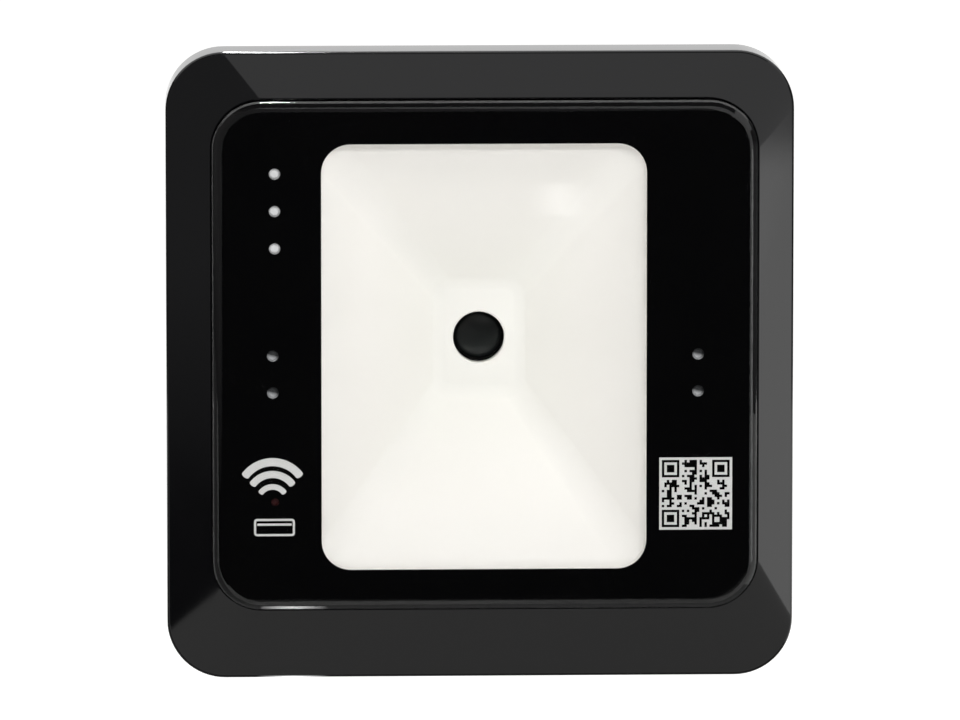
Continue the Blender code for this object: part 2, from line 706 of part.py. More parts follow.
def antenna():
    window = funnel_size(ANTENNA_FRONT, FUNNEL_WALL)
    opening = (window[0] + 2 * ANTENNA_WINDOW_GAP, window[1] + 2 * ANTENNA_WINDOW_GAP)
    shift = (WINDOW_SHIFT_X, WINDOW_SHIFT_Z)
    board = loft(
        "antenna_board",
        [
            ring(ANTENNA, ANTENNA_CORNER, ANTENNA_REAR),
            ring(ANTENNA, ANTENNA_CORNER, ANTENNA_FRONT),
            ring(opening, WINDOW_CORNER, ANTENNA_FRONT, shift),
            ring(opening, WINDOW_CORNER, ANTENNA_REAR, shift),
        ],
        PANEL_AT, board_green, frame=True,
    )
    cut(board, rods("antenna_board_holes", ANTENNA_SCREWS, ANTENNA_SCREW_RADIUS + SEAT_GAP,
                    ANTENNA_REAR - SEAT_GAP, ANTENNA_FRONT + SEAT_GAP))

    curve = bpy.data.curves.new("antenna_coil", "CURVE")
    curve.dimensions = "3D"
    curve.bevel_depth = COIL_WIRE_RADIUS
    curve.bevel_resolution = 1
    curve.use_fill_caps = True
    path = coil_path()
    spline = curve.splines.new("POLY")
    spline.points.add(len(path) - 1)
    level = ANTENNA_REAR - SEAT_GAP - COIL_WIRE_RADIUS
    for point, (x, z) in zip(spline.points, path):
        point.co = (x, -level, z, 1.0)
    coil = bpy.data.objects.new("antenna_coil", curve)
    parts.objects.link(coil)
    place(coil, PANEL_AT, copper)

    profile = screw_profile(ANTENNA_HEAD_RADIUS, ANTENNA_HEAD_HEIGHT, ANTENNA_SCREW_RADIUS,
                            ANTENNA_SCREW_LENGTH, ANTENNA_REAR - SEAT_GAP, 1)
    for i, spot in enumerate(ANTENNA_SCREWS):
        turned(f"antenna_screw_{i + 1}", profile, spot, zinc)


def camera():
    bore = LENS_RADIUS + SEAT_GAP
    seat = BARREL_FRONT - LENS_THICKNESS - SEAT_GAP
    turned(
        "lens_barrel",
        [
            (bore, BARREL_FRONT),
            (BARREL_HEAD_RADIUS, BARREL_FRONT),
            (BARREL_HEAD_RADIUS, BARREL_HEAD_REAR),
            (BARREL_RADIUS, BARREL_HEAD_REAR),
            (BARREL_RADIUS, BARREL_FRONT - BARREL_LENGTH),
            (BARREL_BORE, BARREL_FRONT - BARREL_LENGTH),
            (BARREL_BORE, seat),
            (bore, seat),
        ],
        WINDOW_AT, black_satin, ROUND_SEGMENTS,
    )
    lens_rear = seat + SEAT_GAP
    dome = [
        (LENS_RADIUS * math.cos(t), lens_rear + LENS_RIM + (LENS_THICKNESS - LENS_RIM) * math.sin(t))
        for t in (math.pi / 2 * i / DOME_STEPS for i in range(DOME_STEPS))
    ]
    turned(
        "lens_glass",
        [(0.0, lens_rear), (LENS_RADIUS, lens_rear), *dome, (0.0, lens_rear + LENS_THICKNESS)],
        WINDOW_AT, lens_coated, ROUND_SEGMENTS,
    )
    tube = 2 * (BARREL_RADIUS + SEAT_GAP)
    tube_outer = tube + 2 * HOLDER_TUBE_WALL
    base_front = PART_LEVEL + HOLDER_BASE_HEIGHT
    room = HOLDER_SIZE - 2 * HOLDER_FLOOR_WALL
    loft(
        "lens_holder",
        [
            ring((HOLDER_SIZE, HOLDER_SIZE), HOLDER_CORNER, PART_LEVEL),
            ring((HOLDER_SIZE, HOLDER_SIZE), HOLDER_CORNER, base_front),
            ring((tube_outer, tube_outer), tube_outer / 2, base_front),
            ring((tube_outer, tube_outer), tube_outer / 2, HOLDER_FRONT),
            ring((tube, tube), tube / 2, HOLDER_FRONT),
            ring((tube, tube), tube / 2, base_front - HOLDER_FLOOR_WALL),
            ring((room, room), HOLDER_CORNER, base_front - HOLDER_FLOOR_WALL),
            ring((room, room), HOLDER_CORNER, PART_LEVEL),
        ],
        WINDOW_AT, black_satin, frame=True, steps=COVER_CORNER_STEPS,
    )
    block("image_sensor", WINDOW_AT, (SENSOR_CHIP_SIZE, SENSOR_CHIP_SIZE), SENSOR_CHIP_HEIGHT,
          chip_black)


def block(name, at, size, height, material, rear=PART_LEVEL):
    # A moulded package: straight sides, then a drafted top.
    top = (size[0] - height * PACKAGE_TAPER, size[1] - height * PACKAGE_TAPER)
    loft(
        name,
        [
            ring(size, PACKAGE_CORNER, rear),
            ring(size, PACKAGE_CORNER, rear + height * PACKAGE_SIDE_SHARE),
            ring(top, PACKAGE_CORNER, rear + height),
        ],
        at, material, steps=1,
    )


def main_board():
    board = loft(
        "main_board",
        [
            ring(MAIN, MAIN_CORNER, MAIN_REAR),
            ring(MAIN, MAIN_CORNER, MAIN_LEVEL),
        ],
        material=board_green,
    )
    cut(board, rods("board_holes", POSTS, BOARD_SCREW_RADIUS + SEAT_GAP,
                    MAIN_REAR - SEAT_GAP, MAIN_LEVEL + SEAT_GAP))
    profile = screw_profile(BOARD_HEAD_RADIUS, BOARD_HEAD_HEIGHT, BOARD_SCREW_RADIUS,
                            BOARD_SCREW_LENGTH, PART_LEVEL, -1)
    for i, spot in enumerate(POSTS):
        turned(f"board_screw_{i + 1}", profile, spot, zinc)
    block("processor", on_board(-1, PROCESSOR_INSET_X, -1, PROCESSOR_INSET_Z),
          (PROCESSOR_SIZE, PROCESSOR_SIZE), PROCESSOR_HEIGHT, chip_black)
    block("memory_chip", on_board(-1, MEMORY_INSET_X, -1, MEMORY_INSET_Z),
          (MEMORY_WIDTH, MEMORY_DEPTH), MEMORY_HEIGHT, chip_black)
    block("radio_shield", on_board(1, SHIELD_INSET_X, -1, SHIELD_INSET_Z),
          (SHIELD_WIDTH, SHIELD_DEPTH), SHIELD_HEIGHT, tinned_steel)
    buzzer_top = PART_LEVEL + BUZZER_HEIGHT
    turned(
        "buzzer",
        [
            (0.0, PART_LEVEL),
            (BUZZER_RADIUS, PART_LEVEL),
            (BUZZER_RADIUS, buzzer_top - BUZZER_EDGE),
            (BUZZER_RADIUS - BUZZER_EDGE, buzzer_top),
            (BUZZER_HOLE, buzzer_top),
            (BUZZER_HOLE, buzzer_top - BUZZER_HOLE_DEPTH),
            (0.0, buzzer_top - BUZZER_HOLE_DEPTH),
        ],
        on_board(-1, BUZZER_INSET_X, 1, BUZZER_INSET_Z), black_satin, ROUND_SEGMENTS,
    )
    groove = PART_LEVEL + CAPACITOR_GROOVE
    capacitor_top = PART_LEVEL + CAPACITOR_HEIGHT
    turned(
        "capacitor",
        [
            (0.0, PART_LEVEL),
            (CAPACITOR_RADIUS, PART_LEVEL),
            (CAPACITOR_RADIUS, groove - CAPACITOR_EDGE),
            (CAPACITOR_RADIUS - CAPACITOR_EDGE / 2, groove),
            (CAPACITOR_RADIUS, groove + CAPACITOR_EDGE),
            (CAPACITOR_RADIUS, capacitor_top - CAPACITOR_TOP_EDGE),
            (CAPACITOR_RADIUS - CAPACITOR_EDGE, capacitor_top),
            (0.0, capacitor_top),
        ],
        on_board(1, CAPACITOR_INSET_X, 1, CAPACITOR_INSET_Z), tinned_steel,
    )


def on_board(side_x, inset_x, side_z, inset_z):
    # A place on the main board, measured in from its edges.
    return (side_x * (MAIN[0] / 2 - inset_x), side_z * (MAIN[1] / 2 - inset_z))


def wire_header():
    front = MAIN_REAR - SEAT_GAP
    rear = COVER_FLOOR + SEAT_GAP
    size = (HEADER_WAYS * HEADER_PITCH + 2 * HEADER_END_WALL, HEADER_DEPTH_Z)
    room = (size[0] - 2 * HEADER_WALL, size[1] - 2 * HEADER_WALL)
    header = loft(
        "wire_header",
        [
            ring(size, HEADER_WALL / 2, front),
            ring(size, HEADER_WALL / 2, rear),
            ring(room, HEADER_WALL / 4, rear),
            ring(room, HEADER_WALL / 4, front - HEADER_FLOOR),
        ],
        HEADER_AT, socket_white, steps=1,
    )
    ways = [
        (HEADER_AT[0] + HEADER_PITCH * (i - (HEADER_WAYS - 1) / 2), HEADER_AT[1])
        for i in range(HEADER_WAYS)
    ]
    hole = PIN_SIZE + 2 * SEAT_GAP
    cut(header, bars("pin_holes", ways, (hole, hole),
                     front - HEADER_FLOOR - SEAT_GAP, front + SEAT_GAP))
    for i, way in enumerate(ways):
        loft(
            f"header_pin_{i + 1}",
            [
                ring((PIN_SIZE, PIN_SIZE), PIN_SIZE / 8, front),
                ring((PIN_SIZE, PIN_SIZE), PIN_SIZE / 8, rear + PIN_END_GAP + PIN_SIZE / 2),
                ring((PIN_SIZE / 2, PIN_SIZE / 2), PIN_SIZE / 16, rear + PIN_END_GAP),
            ],
            way, gold, steps=1,
        )
    return (size[0] + 2 * ENTRY_MARGIN, size[1] + 2 * ENTRY_MARGIN)


def board_flex():
    socket = (SOCKET_DEPTH, SOCKET_WIDTH)
    front_rear = ANTENNA_REAR - SEAT_GAP - SOCKET_HEIGHT
    block("antenna_socket", FLEX_AT, socket, SOCKET_HEIGHT, socket_white, rear=front_rear)
    block("board_socket", FLEX_AT, socket, SOCKET_HEIGHT, socket_white)
    high = front_rear - SEAT_GAP
    low = PART_LEVEL + SOCKET_HEIGHT + SEAT_GAP
    bm = bmesh.new()
    rows = []
    for i in range(FLEX_STEPS + 1):
        share = i / FLEX_STEPS
        x = -FLEX_SWAY * math.sin(2 * math.pi * share)
        level = high + (low - high) * share
        rows.append([bm.verts.new((x, -level, z)) for z in (-FLEX_WIDTH / 2, FLEX_WIDTH / 2)])
    for near, far in zip(rows, rows[1:]):
        bm.faces.new((near[0], near[1], far[1], far[0]))
    flex = mesh_object("board_flex", bm)
    solidify = flex.modifiers.new("film", "SOLIDIFY")
    solidify.thickness = FLEX_THICKNESS
    solidify.offset = 0.0
    place(flex, FLEX_AT, flex_amber)


def rear_cover(entry):
    mouth = (COVER_BOX[0] + 2 * COVER_DRAFT, COVER_BOX[1] + 2 * COVER_DRAFT)
    bore = (mouth[0] - 2 * COVER_WALL, mouth[1] - 2 * COVER_WALL)
    corner = COVER_BOX_CORNER
    cover = loft(
        "rear_cover",
        [
            ring(COVER_BOX, corner, -REAR_DEPTH, edge=RIM_EDGE_ROUND),
            ring(mouth, corner + COVER_DRAFT, 0.0),
            ring(FLANGE, BODY_CORNER - RIM_WALL - SEAT_GAP, 0.0),
            ring(FLANGE, BODY_CORNER - RIM_WALL - SEAT_GAP, FLANGE_THICKNESS),
            ring(bore, corner + COVER_DRAFT - COVER_WALL, FLANGE_THICKNESS),
            ring(COVER_ROOM, corner - COVER_WALL, COVER_FLOOR),
        ],
        material=black_satin, steps=COVER_CORNER_STEPS,
    )
    post_front = MAIN_REAR - SEAT_GAP
    join(cover, rods("board_post_shape", POSTS, POST_RADIUS,
                     COVER_FLOOR - COVER_WALL / 2, post_front))
    boss_front = FLANGE_THICKNESS + INSERT_BOSS_HEIGHT
    join(cover, rods("insert_boss_shape", INSERTS, INSERT_BOSS_RADIUS,
                     FLANGE_THICKNESS / 2, boss_front))
    screw_end = PART_LEVEL - BOARD_SCREW_LENGTH - SEAT_GAP
    cut(cover, rods("post_pilot", POSTS, BOARD_SCREW_RADIUS + SEAT_GAP, screw_end,
                    post_front + SEAT_GAP))
    cut(cover, rods("insert_bore", INSERTS, INSERT_RADIUS + SEAT_GAP, -SEAT_GAP,
                    boss_front + SEAT_GAP))
    cut(cover, rods("cover_screw_holes", COVER_SCREWS, COVER_SCREW_RADIUS + SEAT_GAP,
                    -SEAT_GAP, FLANGE_THICKNESS + SEAT_GAP))
    head_seat = COVER_HEAD_RECESS + COVER_HEAD_HEIGHT
    cut(cover, rods("cover_head_seats", COVER_SCREWS, COVER_HEAD_RADIUS + SEAT_GAP,
                    -SEAT_GAP, head_seat + SEAT_GAP))
    cut(cover, bars("wire_entry", [HEADER_AT], entry, -REAR_DEPTH - COVER_WALL,
                    COVER_FLOOR + SEAT_GAP))

    profile = screw_profile(COVER_HEAD_RADIUS, COVER_HEAD_HEIGHT, COVER_SCREW_RADIUS,
                            COVER_SCREW_LENGTH, head_seat, 1)
    for i, spot in enumerate(COVER_SCREWS):
        turned(f"cover_screw_{i + 1}", profile, spot, zinc)
    for i, spot in enumerate(INSERTS):
        turned(
            f"fixing_insert_{i + 1}",
            [
                (INSERT_BORE, SEAT_GAP), (INSERT_RADIUS, SEAT_GAP),
                (INSERT_RADIUS, SEAT_GAP + INSERT_LENGTH), (INSERT_BORE, SEAT_GAP + INSERT_LENGTH),
            ],
            spot, brass,
        )


def housing_seal():
    low = FLANGE_THICKNESS + SEAT_GAP
    high = SHOULDER_LEVEL - SEAT_GAP
    inner = (FLANGE[0] - 2 * SEAL_WIDTH, FLANGE[1] - 2 * SEAL_WIDTH)
    corner = BODY_CORNER - RIM_WALL - SEAT_GAP
    loft(
        "housing_seal",
        [
            ring(FLANGE, corner, low),
            ring(FLANGE, corner, high),
            ring(inner, corner - SEAL_WIDTH, high),
            ring(inner, corner - SEAL_WIDTH, low),
        ],
        material=seal_grey, frame=True, steps=COVER_CORNER_STEPS,
    )


clear_scene()
parts = new_collection("code_reader")
tools = new_collection("cutters")
unit = bpy.data.objects.new("code_reader", None)
parts.objects.link(unit)

black_gloss = new_material("glossy black ABS", (0.012, 0.012, 0.014), 0.12)
black_satin = new_material("satin black ABS", (0.020, 0.020, 0.022), 0.45)
black_film = new_material("black printed film", (0.004, 0.004, 0.005), 0.30)
tape_black = new_material("black foam tape", (0.010, 0.010, 0.010), 0.80)
clear_glass = new_material("clear cover glass", (0.900, 0.920, 0.920), 0.03)
white_plastic = new_material("white ABS", (0.850, 0.850, 0.830), 0.45)
board_green = new_material("green circuit board", (0.010, 0.120, 0.045), 0.50)
led_white = new_material("lit diffuser", (0.900, 0.920, 0.950), 0.30)
led_dim = new_material("unlit lamp resin", (0.350, 0.350, 0.360), 0.30)
sensor_red = new_material("dark red resin", (0.080, 0.015, 0.012), 0.25)
socket_white = new_material("natural nylon", (0.750, 0.720, 0.620), 0.55)
chip_black = new_material("epoxy chip package", (0.015, 0.015, 0.016), 0.60)
lens_coated = new_material("coated lens glass", (0.020, 0.030, 0.035), 0.04)
seal_grey = new_material("grey silicone", (0.150, 0.150, 0.155), 0.65)
flex_amber = new_material("polyimide film", (0.450, 0.180, 0.030), 0.35)
zinc = new_material("zinc plated steel", (0.600, 0.610, 0.620), 0.30, 1.0)
tinned_steel = new_material("tinned steel", (0.640, 0.640, 0.630), 0.35, 1.0)
copper = new_material("enamelled copper", (0.550, 0.200, 0.080), 0.30, 1.0)
brass = new_material("brass", (0.640, 0.460, 0.160), 0.30, 1.0)
gold = new_material("gold plated pin", (0.750, 0.540, 0.200), 0.25, 1.0)

front_bezel()
cover_glass()
mask_film()
glass_tape()
reflector()
indicators()
antenna()
camera()
main_board()
board_flex()
rear_cover(wire_header())
housing_seal()
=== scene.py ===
import math
import random

import bmesh
import bpy
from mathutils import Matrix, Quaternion, Vector


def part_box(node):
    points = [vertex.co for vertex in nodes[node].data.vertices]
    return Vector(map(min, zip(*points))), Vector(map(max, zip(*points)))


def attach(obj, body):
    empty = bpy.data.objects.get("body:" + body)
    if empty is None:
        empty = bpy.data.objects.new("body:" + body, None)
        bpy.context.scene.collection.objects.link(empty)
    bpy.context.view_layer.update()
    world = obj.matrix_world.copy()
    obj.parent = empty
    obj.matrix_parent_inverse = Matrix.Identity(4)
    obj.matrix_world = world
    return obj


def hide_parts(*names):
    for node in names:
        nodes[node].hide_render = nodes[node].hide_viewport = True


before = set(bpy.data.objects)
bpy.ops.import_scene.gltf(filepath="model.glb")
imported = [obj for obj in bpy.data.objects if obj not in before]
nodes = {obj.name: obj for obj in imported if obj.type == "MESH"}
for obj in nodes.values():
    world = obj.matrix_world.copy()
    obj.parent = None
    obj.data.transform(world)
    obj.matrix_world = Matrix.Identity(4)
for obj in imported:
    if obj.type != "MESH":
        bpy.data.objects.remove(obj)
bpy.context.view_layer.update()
print("frame loaded:", len(nodes), "CAD nodes")

panelY = -0.0074  # where the wall panel's surface is; levels below are heights in front of it
panelAt = (0.0005, 0.0020)  # middle of the cover glass, across and up
windowAt = (0.0004, 0.0016)  # middle of the white window


def middleOf(name):
    # across and up, from the CAD node's box
    low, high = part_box(name)
    return ((low.x + high.x) / 2, (low.z + high.z) / 2)


lampSpots = {name: middleOf(name) for name in nodes if "_led_" in name or name == "card_sensor"}


def toLinear(hexColour):
    channels = [int(hexColour[i:i + 2], 16) / 255 for i in (1, 3, 5)]
    return tuple([c / 12.92 if c <= 0.04045 else ((c + 0.055) / 1.055) ** 2.4 for c in channels] + [1.0])


def addNode(tree, kind, settings=None, links=None):
    # lower-case names are the node's own settings, the rest are its sockets
    node = tree.nodes.new(kind)
    for key, value in (settings or {}).items():
        if isinstance(key, str) and key.islower():
            setattr(node, key, value)
        else:
            node.inputs[key].default_value = value
    for key, source in (links or {}).items():
        tree.links.new(source, node.inputs[key])
    return node


def seenRays(tree):
    # 1 on what the camera, a mirror or glass sees, 0 on light that falls on the object
    path = addNode(tree, "ShaderNodeLightPath")
    seen = addNode(tree, "ShaderNodeMath", {"operation": "MAXIMUM"},
                   {0: path.outputs["Is Camera Ray"], 1: path.outputs["Is Glossy Ray"]})
    both = addNode(tree, "ShaderNodeMath", {"operation": "MAXIMUM"},
                   {0: seen.outputs[0], 1: path.outputs["Is Transmission Ray"]})
    return both.outputs[0]


def directionOf(place):
    # azimuth 0 is in front of the object, 90 on the viewer's right
    azimuth, elevation = math.radians(place["azimuth"]), math.radians(place["elevation"])
    return Vector((math.sin(azimuth) * math.cos(elevation), -math.cos(azimuth) * math.cos(elevation),
                   math.sin(elevation)))


def ringAt(width, height, corner, level, at=(0.0, 0.0), edge=0.0):
    return {"width": width, "height": height, "corner": corner, "level": level, "at": at, "edge": edge}


def roundAt(radius, level, at=(0.0, 0.0), edge=0.0):
    return ringAt(2 * radius, 2 * radius, None, level, at, edge)


def selectSpan(mesh, spans):
    # picks vertices by their number, ring by ring
    work = bmesh.from_edit_mesh(mesh)
    work.verts.ensure_lookup_table()
    for vert in work.verts:
        vert.select_set(any(low <= vert.index < high for low, high in spans))
    work.select_flush_mode()
    bmesh.update_edit_mesh(mesh)


def loftRings(name, rings, closed=False, segments=12, smooth=32):
    # each ring is a plane or circle at its size and place; its corners are rounded, its face
    # is opened, and it is bridged to the ring before it
    bpy.ops.object.select_all(action="DESELECT")
    bpy.ops.object.add(type="MESH", location=(0, 0, 0), enter_editmode=True)
    piece = bpy.context.object
    piece.name = name
    piece.data.name = name
    bpy.ops.mesh.select_mode(type="VERT")
    count = 0
    for ring in rings:
        place = (ring["at"][0], panelY - ring["level"], ring["at"][1])
        if ring["corner"] is None:
            count = segments * 4
            bpy.ops.mesh.primitive_circle_add(
                vertices=count, radius=ring["width"] / 2, location=place, rotation=(math.pi / 2, 0, 0))
            continue
        bpy.ops.mesh.primitive_plane_add(size=1, location=place, rotation=(math.pi / 2, 0, 0))
        bpy.ops.transform.resize(value=(ring["width"], 1, ring["height"]), center_override=place)
        bpy.ops.mesh.bevel(offset=ring["corner"], segments=segments, affect="VERTICES")
        bpy.ops.mesh.delete(type="ONLY_FACE")
        count = 4 * (segments + 1)
    pairs = [(i, i + 1) for i in range(len(rings) - 1)] + ([(len(rings) - 1, 0)] if closed else [])
    for near, far in pairs:
        # two rings in one plane bridge askew, so the far one stands off while it is joined
        selectSpan(piece.data, [(far * count, (far + 1) * count)])
        bpy.ops.transform.translate(value=(0, -0.05, 0))
        selectSpan(piece.data, [(near * count, (near + 1) * count), (far * count, (far + 1) * count)])
        bpy.ops.mesh.bridge_edge_loops()
        selectSpan(piece.data, [(far * count, (far + 1) * count)])
        bpy.ops.transform.translate(value=(0, 0.05, 0))
    widest = max(ring["edge"] for ring in rings)
    for i, ring in enumerate(rings):
        if ring["edge"]:
            selectSpan(piece.data, [(i * count, (i + 1) * count)])
            bpy.ops.transform.edge_bevelweight(value=ring["edge"] / widest)
    if not closed:
        for i in (0, len(rings) - 1):
            selectSpan(piece.data, [(i * count, (i + 1) * count)])
            bpy.ops.mesh.edge_face_add()
    bpy.ops.mesh.select_all(action="SELECT")
    bpy.ops.mesh.normals_make_consistent(inside=False)
    bpy.ops.object.mode_set(mode="OBJECT")
    if widest:
        roundEdges(piece, widest, "WEIGHT")
    smoothFaces(piece, smooth)
    return piece


def takeUp(piece):
    bpy.ops.object.select_all(action="DESELECT")
    piece.select_set(True)
    bpy.context.view_layer.objects.active = piece


def smoothFaces(piece, angle):
    # rounded edges shade smoothly, and the flats between them stay flat
    takeUp(piece)
    bpy.ops.object.shade_smooth_by_angle(angle=math.radians(angle))
    weigh = piece.modifiers.new("flats", "WEIGHTED_NORMAL")
    weigh.weight = 100
    weigh.keep_sharp = True
    bpy.ops.object.modifier_apply(modifier=weigh.name)


def roundEdges(piece, width, limit="ANGLE", segments=3):
    takeUp(piece)
    bevel = piece.modifiers.new("edge round", "BEVEL")
    bevel.width = width
    bevel.segments = segments
    bevel.limit_method = limit
    bevel.angle_limit = math.radians(40)
    bevel.harden_normals = False
    bpy.ops.object.modifier_apply(modifier=bevel.name)


def cutAway(piece, cutter, operation="DIFFERENCE", smooth=32):
    takeUp(piece)
    tool = piece.modifiers.new("cut", "BOOLEAN")
    tool.operation = operation
    tool.solver = "EXACT"
    tool.object = cutter
    bpy.ops.object.modifier_apply(modifier=tool.name)
    bpy.data.objects.remove(cutter, do_unlink=True)
    smoothFaces(piece, smooth)


def copyPiece(piece, name, shift):
    # a copy with its own mesh, moved in its mesh
    takeUp(piece)
    bpy.ops.object.duplicate(linked=False)
    twin = bpy.context.object
    twin.name = name
    twin.data.name = name
    bpy.ops.object.mode_set(mode="EDIT")
    bpy.ops.mesh.select_all(action="SELECT")
    bpy.ops.transform.translate(value=shift)
    bpy.ops.object.mode_set(mode="OBJECT")
    return twin


def joinPieces(name, pieces):
    bpy.ops.object.select_all(action="DESELECT")
    for piece in pieces:
        piece.select_set(True)
    bpy.context.view_layer.objects.active = pieces[0]
    bpy.ops.object.join()
    pieces[0].name = name
    return pieces[0]


def settle(piece, material, slot, *replaced):
    piece.data.materials.clear()
    piece.data.materials.append(material)
    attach(piece, "root")
    if replaced:
        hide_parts(*replaced)


def makeFinish(name, look):
    # two close tones in soft clouds, gloss that wanders with them, and a fine relief
    material = bpy.data.materials.new(name)
    material.use_nodes = True
    tree = material.node_tree
    shader = tree.nodes["Principled BSDF"]
    coords = addNode(tree, "ShaderNodeTexCoord")
    cloud = addNode(tree, "ShaderNodeTexNoise", {"Scale": 1000 / look["cloudMm"], "Detail": 3.0},
                    {"Vector": coords.outputs["Object"]})
    tone = addNode(tree, "ShaderNodeMix",
                   {"data_type": "RGBA", 6: toLinear(look["colour"]), 7: toLinear(look["shade"])},
                   {0: cloud.outputs["Fac"]})
    tree.links.new(tone.outputs[2], shader.inputs["Base Color"])
    gloss = addNode(tree, "ShaderNodeMapRange",
                    {"From Min": 0.3, "From Max": 0.7, "To Min": look["smooth"], "To Max": look["rough"]},
                    {"Value": cloud.outputs["Fac"]})
    tree.links.new(gloss.outputs["Result"], shader.inputs["Roughness"])
    grain = addNode(tree, "ShaderNodeTexNoise", {"Scale": 1000 / look["grainMm"], "Detail": 2.0},
                    {"Vector": coords.outputs["Object"]})
    relief = addNode(tree, "ShaderNodeBump",
                     {"Strength": look.get("reliefStrength", 1.0), "Distance": look["reliefMm"] / 1000},
                     {"Height": grain.outputs["Fac"]})
    tree.links.new(relief.outputs["Normal"], shader.inputs["Normal"])
    shader.inputs["Metallic"].default_value = look.get("metallic", 0.0)
    shader.inputs["Specular IOR Level"].default_value = look.get("sheen", 0.5)
    if not look.get("metallic"):
        shader.inputs["IOR"].default_value = look.get("ior", 1.5)
    if look.get("glow"):
        tree.links.new(tone.outputs[2], shader.inputs["Emission Color"])
        shader.inputs["Emission Strength"].default_value = look["glow"]
    return material


# ABS moulded in a polished tool: deep black with mirror-like facets
glossBlack = makeFinish("glossy moulded ABS", {
    "colour": "#050506", "shade": "#070708", "cloudMm": 14, "smooth": 0.06, "rough": 0.10,
    "grainMm": 1.6, "reliefMm": 0.0008, "ior": 1.46})
# ABS moulded in a spark-eroded tool: an even, dull charcoal skin
satinBlack = makeFinish("spark textured ABS", {
    "colour": "#161617", "shade": "#1b1b1d", "cloudMm": 20, "smooth": 0.42, "rough": 0.55,
    "grainMm": 0.35, "reliefMm": 0.02, "ior": 1.5})
# screen-printed black on polycarbonate film: a dead flat black behind the glass
printedBlack = makeFinish("screen printed polycarbonate film", {
    "colour": "#020203", "shade": "#040404", "cloudMm": 9, "smooth": 0.3, "rough": 0.4,
    "grainMm": 0.25, "reliefMm": 0.002, "ior": 1.45, "sheen": 0.02})  # bonded, so no air gap shines
# blackened lens barrel: soot-dull, so only the glass in it shows
dullBlack = makeFinish("matt blackened polyamide", {
    "colour": "#070707", "shade": "#0a0a0a", "cloudMm": 6, "smooth": 0.5, "rough": 0.6,
    "grainMm": 0.3, "reliefMm": 0.004, "ior": 1.45, "sheen": 0.15})
# white screen ink: chalky, almost without gloss
whiteInk = makeFinish("white screen ink", {
    "colour": "#d9d9d7", "shade": "#cdcdcb", "cloudMm": 1.2, "smooth": 0.5, "rough": 0.65,
    "grainMm": 0.2, "reliefMm": 0.004})
# milky epoxy over a lamp chip, with a faint painted glow that brightens it in its dark hole
milkyResin = makeFinish("milky lamp resin", {
    "colour": "#d2d3d3", "shade": "#c6c7c7", "cloudMm": 0.8, "smooth": 0.2, "rough": 0.35,
    "grainMm": 0.3, "reliefMm": 0.004, "glow": 0.27})
redResin = makeFinish("dark red sensor resin", {
    "colour": "#3a1c1c", "shade": "#2a1213", "cloudMm": 0.6, "smooth": 0.2, "rough": 0.35,
    "grainMm": 0.3, "reliefMm": 0.004})
# closed-cell foam tape, sponge silicone: soft dull greys with open pores
foamBlack = makeFinish("closed cell foam tape", {
    "colour": "#121212", "shade": "#1a1a1a", "cloudMm": 2, "smooth": 0.85, "rough": 0.95,
    "grainMm": 0.3, "reliefMm": 0.05})
siliconeGrey = makeFinish("moulded silicone rubber", {
    "colour": "#55565a", "shade": "#4b4c50", "cloudMm": 5, "smooth": 0.6, "rough": 0.75,
    "grainMm": 0.4, "reliefMm": 0.01, "ior": 1.42})
# natural nylon: creamy and slightly waxy
naturalNylon = makeFinish("natural moulded nylon", {
    "colour": "#e6e1cf", "shade": "#d9d3be", "cloudMm": 4, "smooth": 0.4, "rough": 0.55,
    "grainMm": 0.5, "reliefMm": 0.006, "ior": 1.53})
# epoxy moulding compound, sandy under the light
chipEpoxy = makeFinish("epoxy moulding compound", {
    "colour": "#1a1a1b", "shade": "#222223", "cloudMm": 3, "smooth": 0.55, "rough": 0.7,
    "grainMm": 0.15, "reliefMm": 0.006, "ior": 1.55})
# polyimide film over copper: amber and slick
amberFilm = makeFinish("polyimide film", {
    "colour": "#b0651a", "shade": "#9c5513", "cloudMm": 3, "smooth": 0.25, "rough": 0.35,
    "grainMm": 1.0, "reliefMm": 0.004, "ior": 1.7})
# bright metals, each with the tooling or plating haze that it has in the hand
zincSteel = makeFinish("zinc plated steel", {
    "colour": "#c3c6c9", "shade": "#aeb2b6", "cloudMm": 1.5, "smooth": 0.22, "rough": 0.38,
    "grainMm": 0.25, "reliefMm": 0.003, "metallic": 1.0})
tinnedSteel = makeFinish("tinned steel sheet", {
    "colour": "#cccdc9", "shade": "#bbbcb8", "cloudMm": 3, "smooth": 0.25, "rough": 0.4,
    "grainMm": 0.5, "reliefMm": 0.003, "metallic": 1.0})
turnedBrass = makeFinish("turned brass", {
    "colour": "#d4b36a", "shade": "#c09c52", "cloudMm": 1.5, "smooth": 0.2, "rough": 0.35,
    "grainMm": 0.2, "reliefMm": 0.004, "metallic": 1.0})
goldPin = makeFinish("gold plated phosphor bronze", {
    "colour": "#e3bd5e", "shade": "#d6ad4b", "cloudMm": 0.6, "smooth": 0.15, "rough": 0.25,
    "grainMm": 0.2, "reliefMm": 0.002, "metallic": 1.0})
enamelCopper = makeFinish("enamelled copper wire", {
    "colour": "#b5633a", "shade": "#9f5330", "cloudMm": 2, "smooth": 0.2, "rough": 0.3,
    "grainMm": 0.4, "reliefMm": 0.003, "metallic": 1.0})


def openFinish(name, look):
    # a finish with its base tone and coordinates at hand, for one more tone over it
    material = makeFinish(name, look)
    tree = material.node_tree
    shader = tree.nodes["Principled BSDF"]
    base = shader.inputs["Base Color"].links[0].from_socket
    return material, tree, shader, base, addNode(tree, "ShaderNodeTexCoord").outputs["Object"]


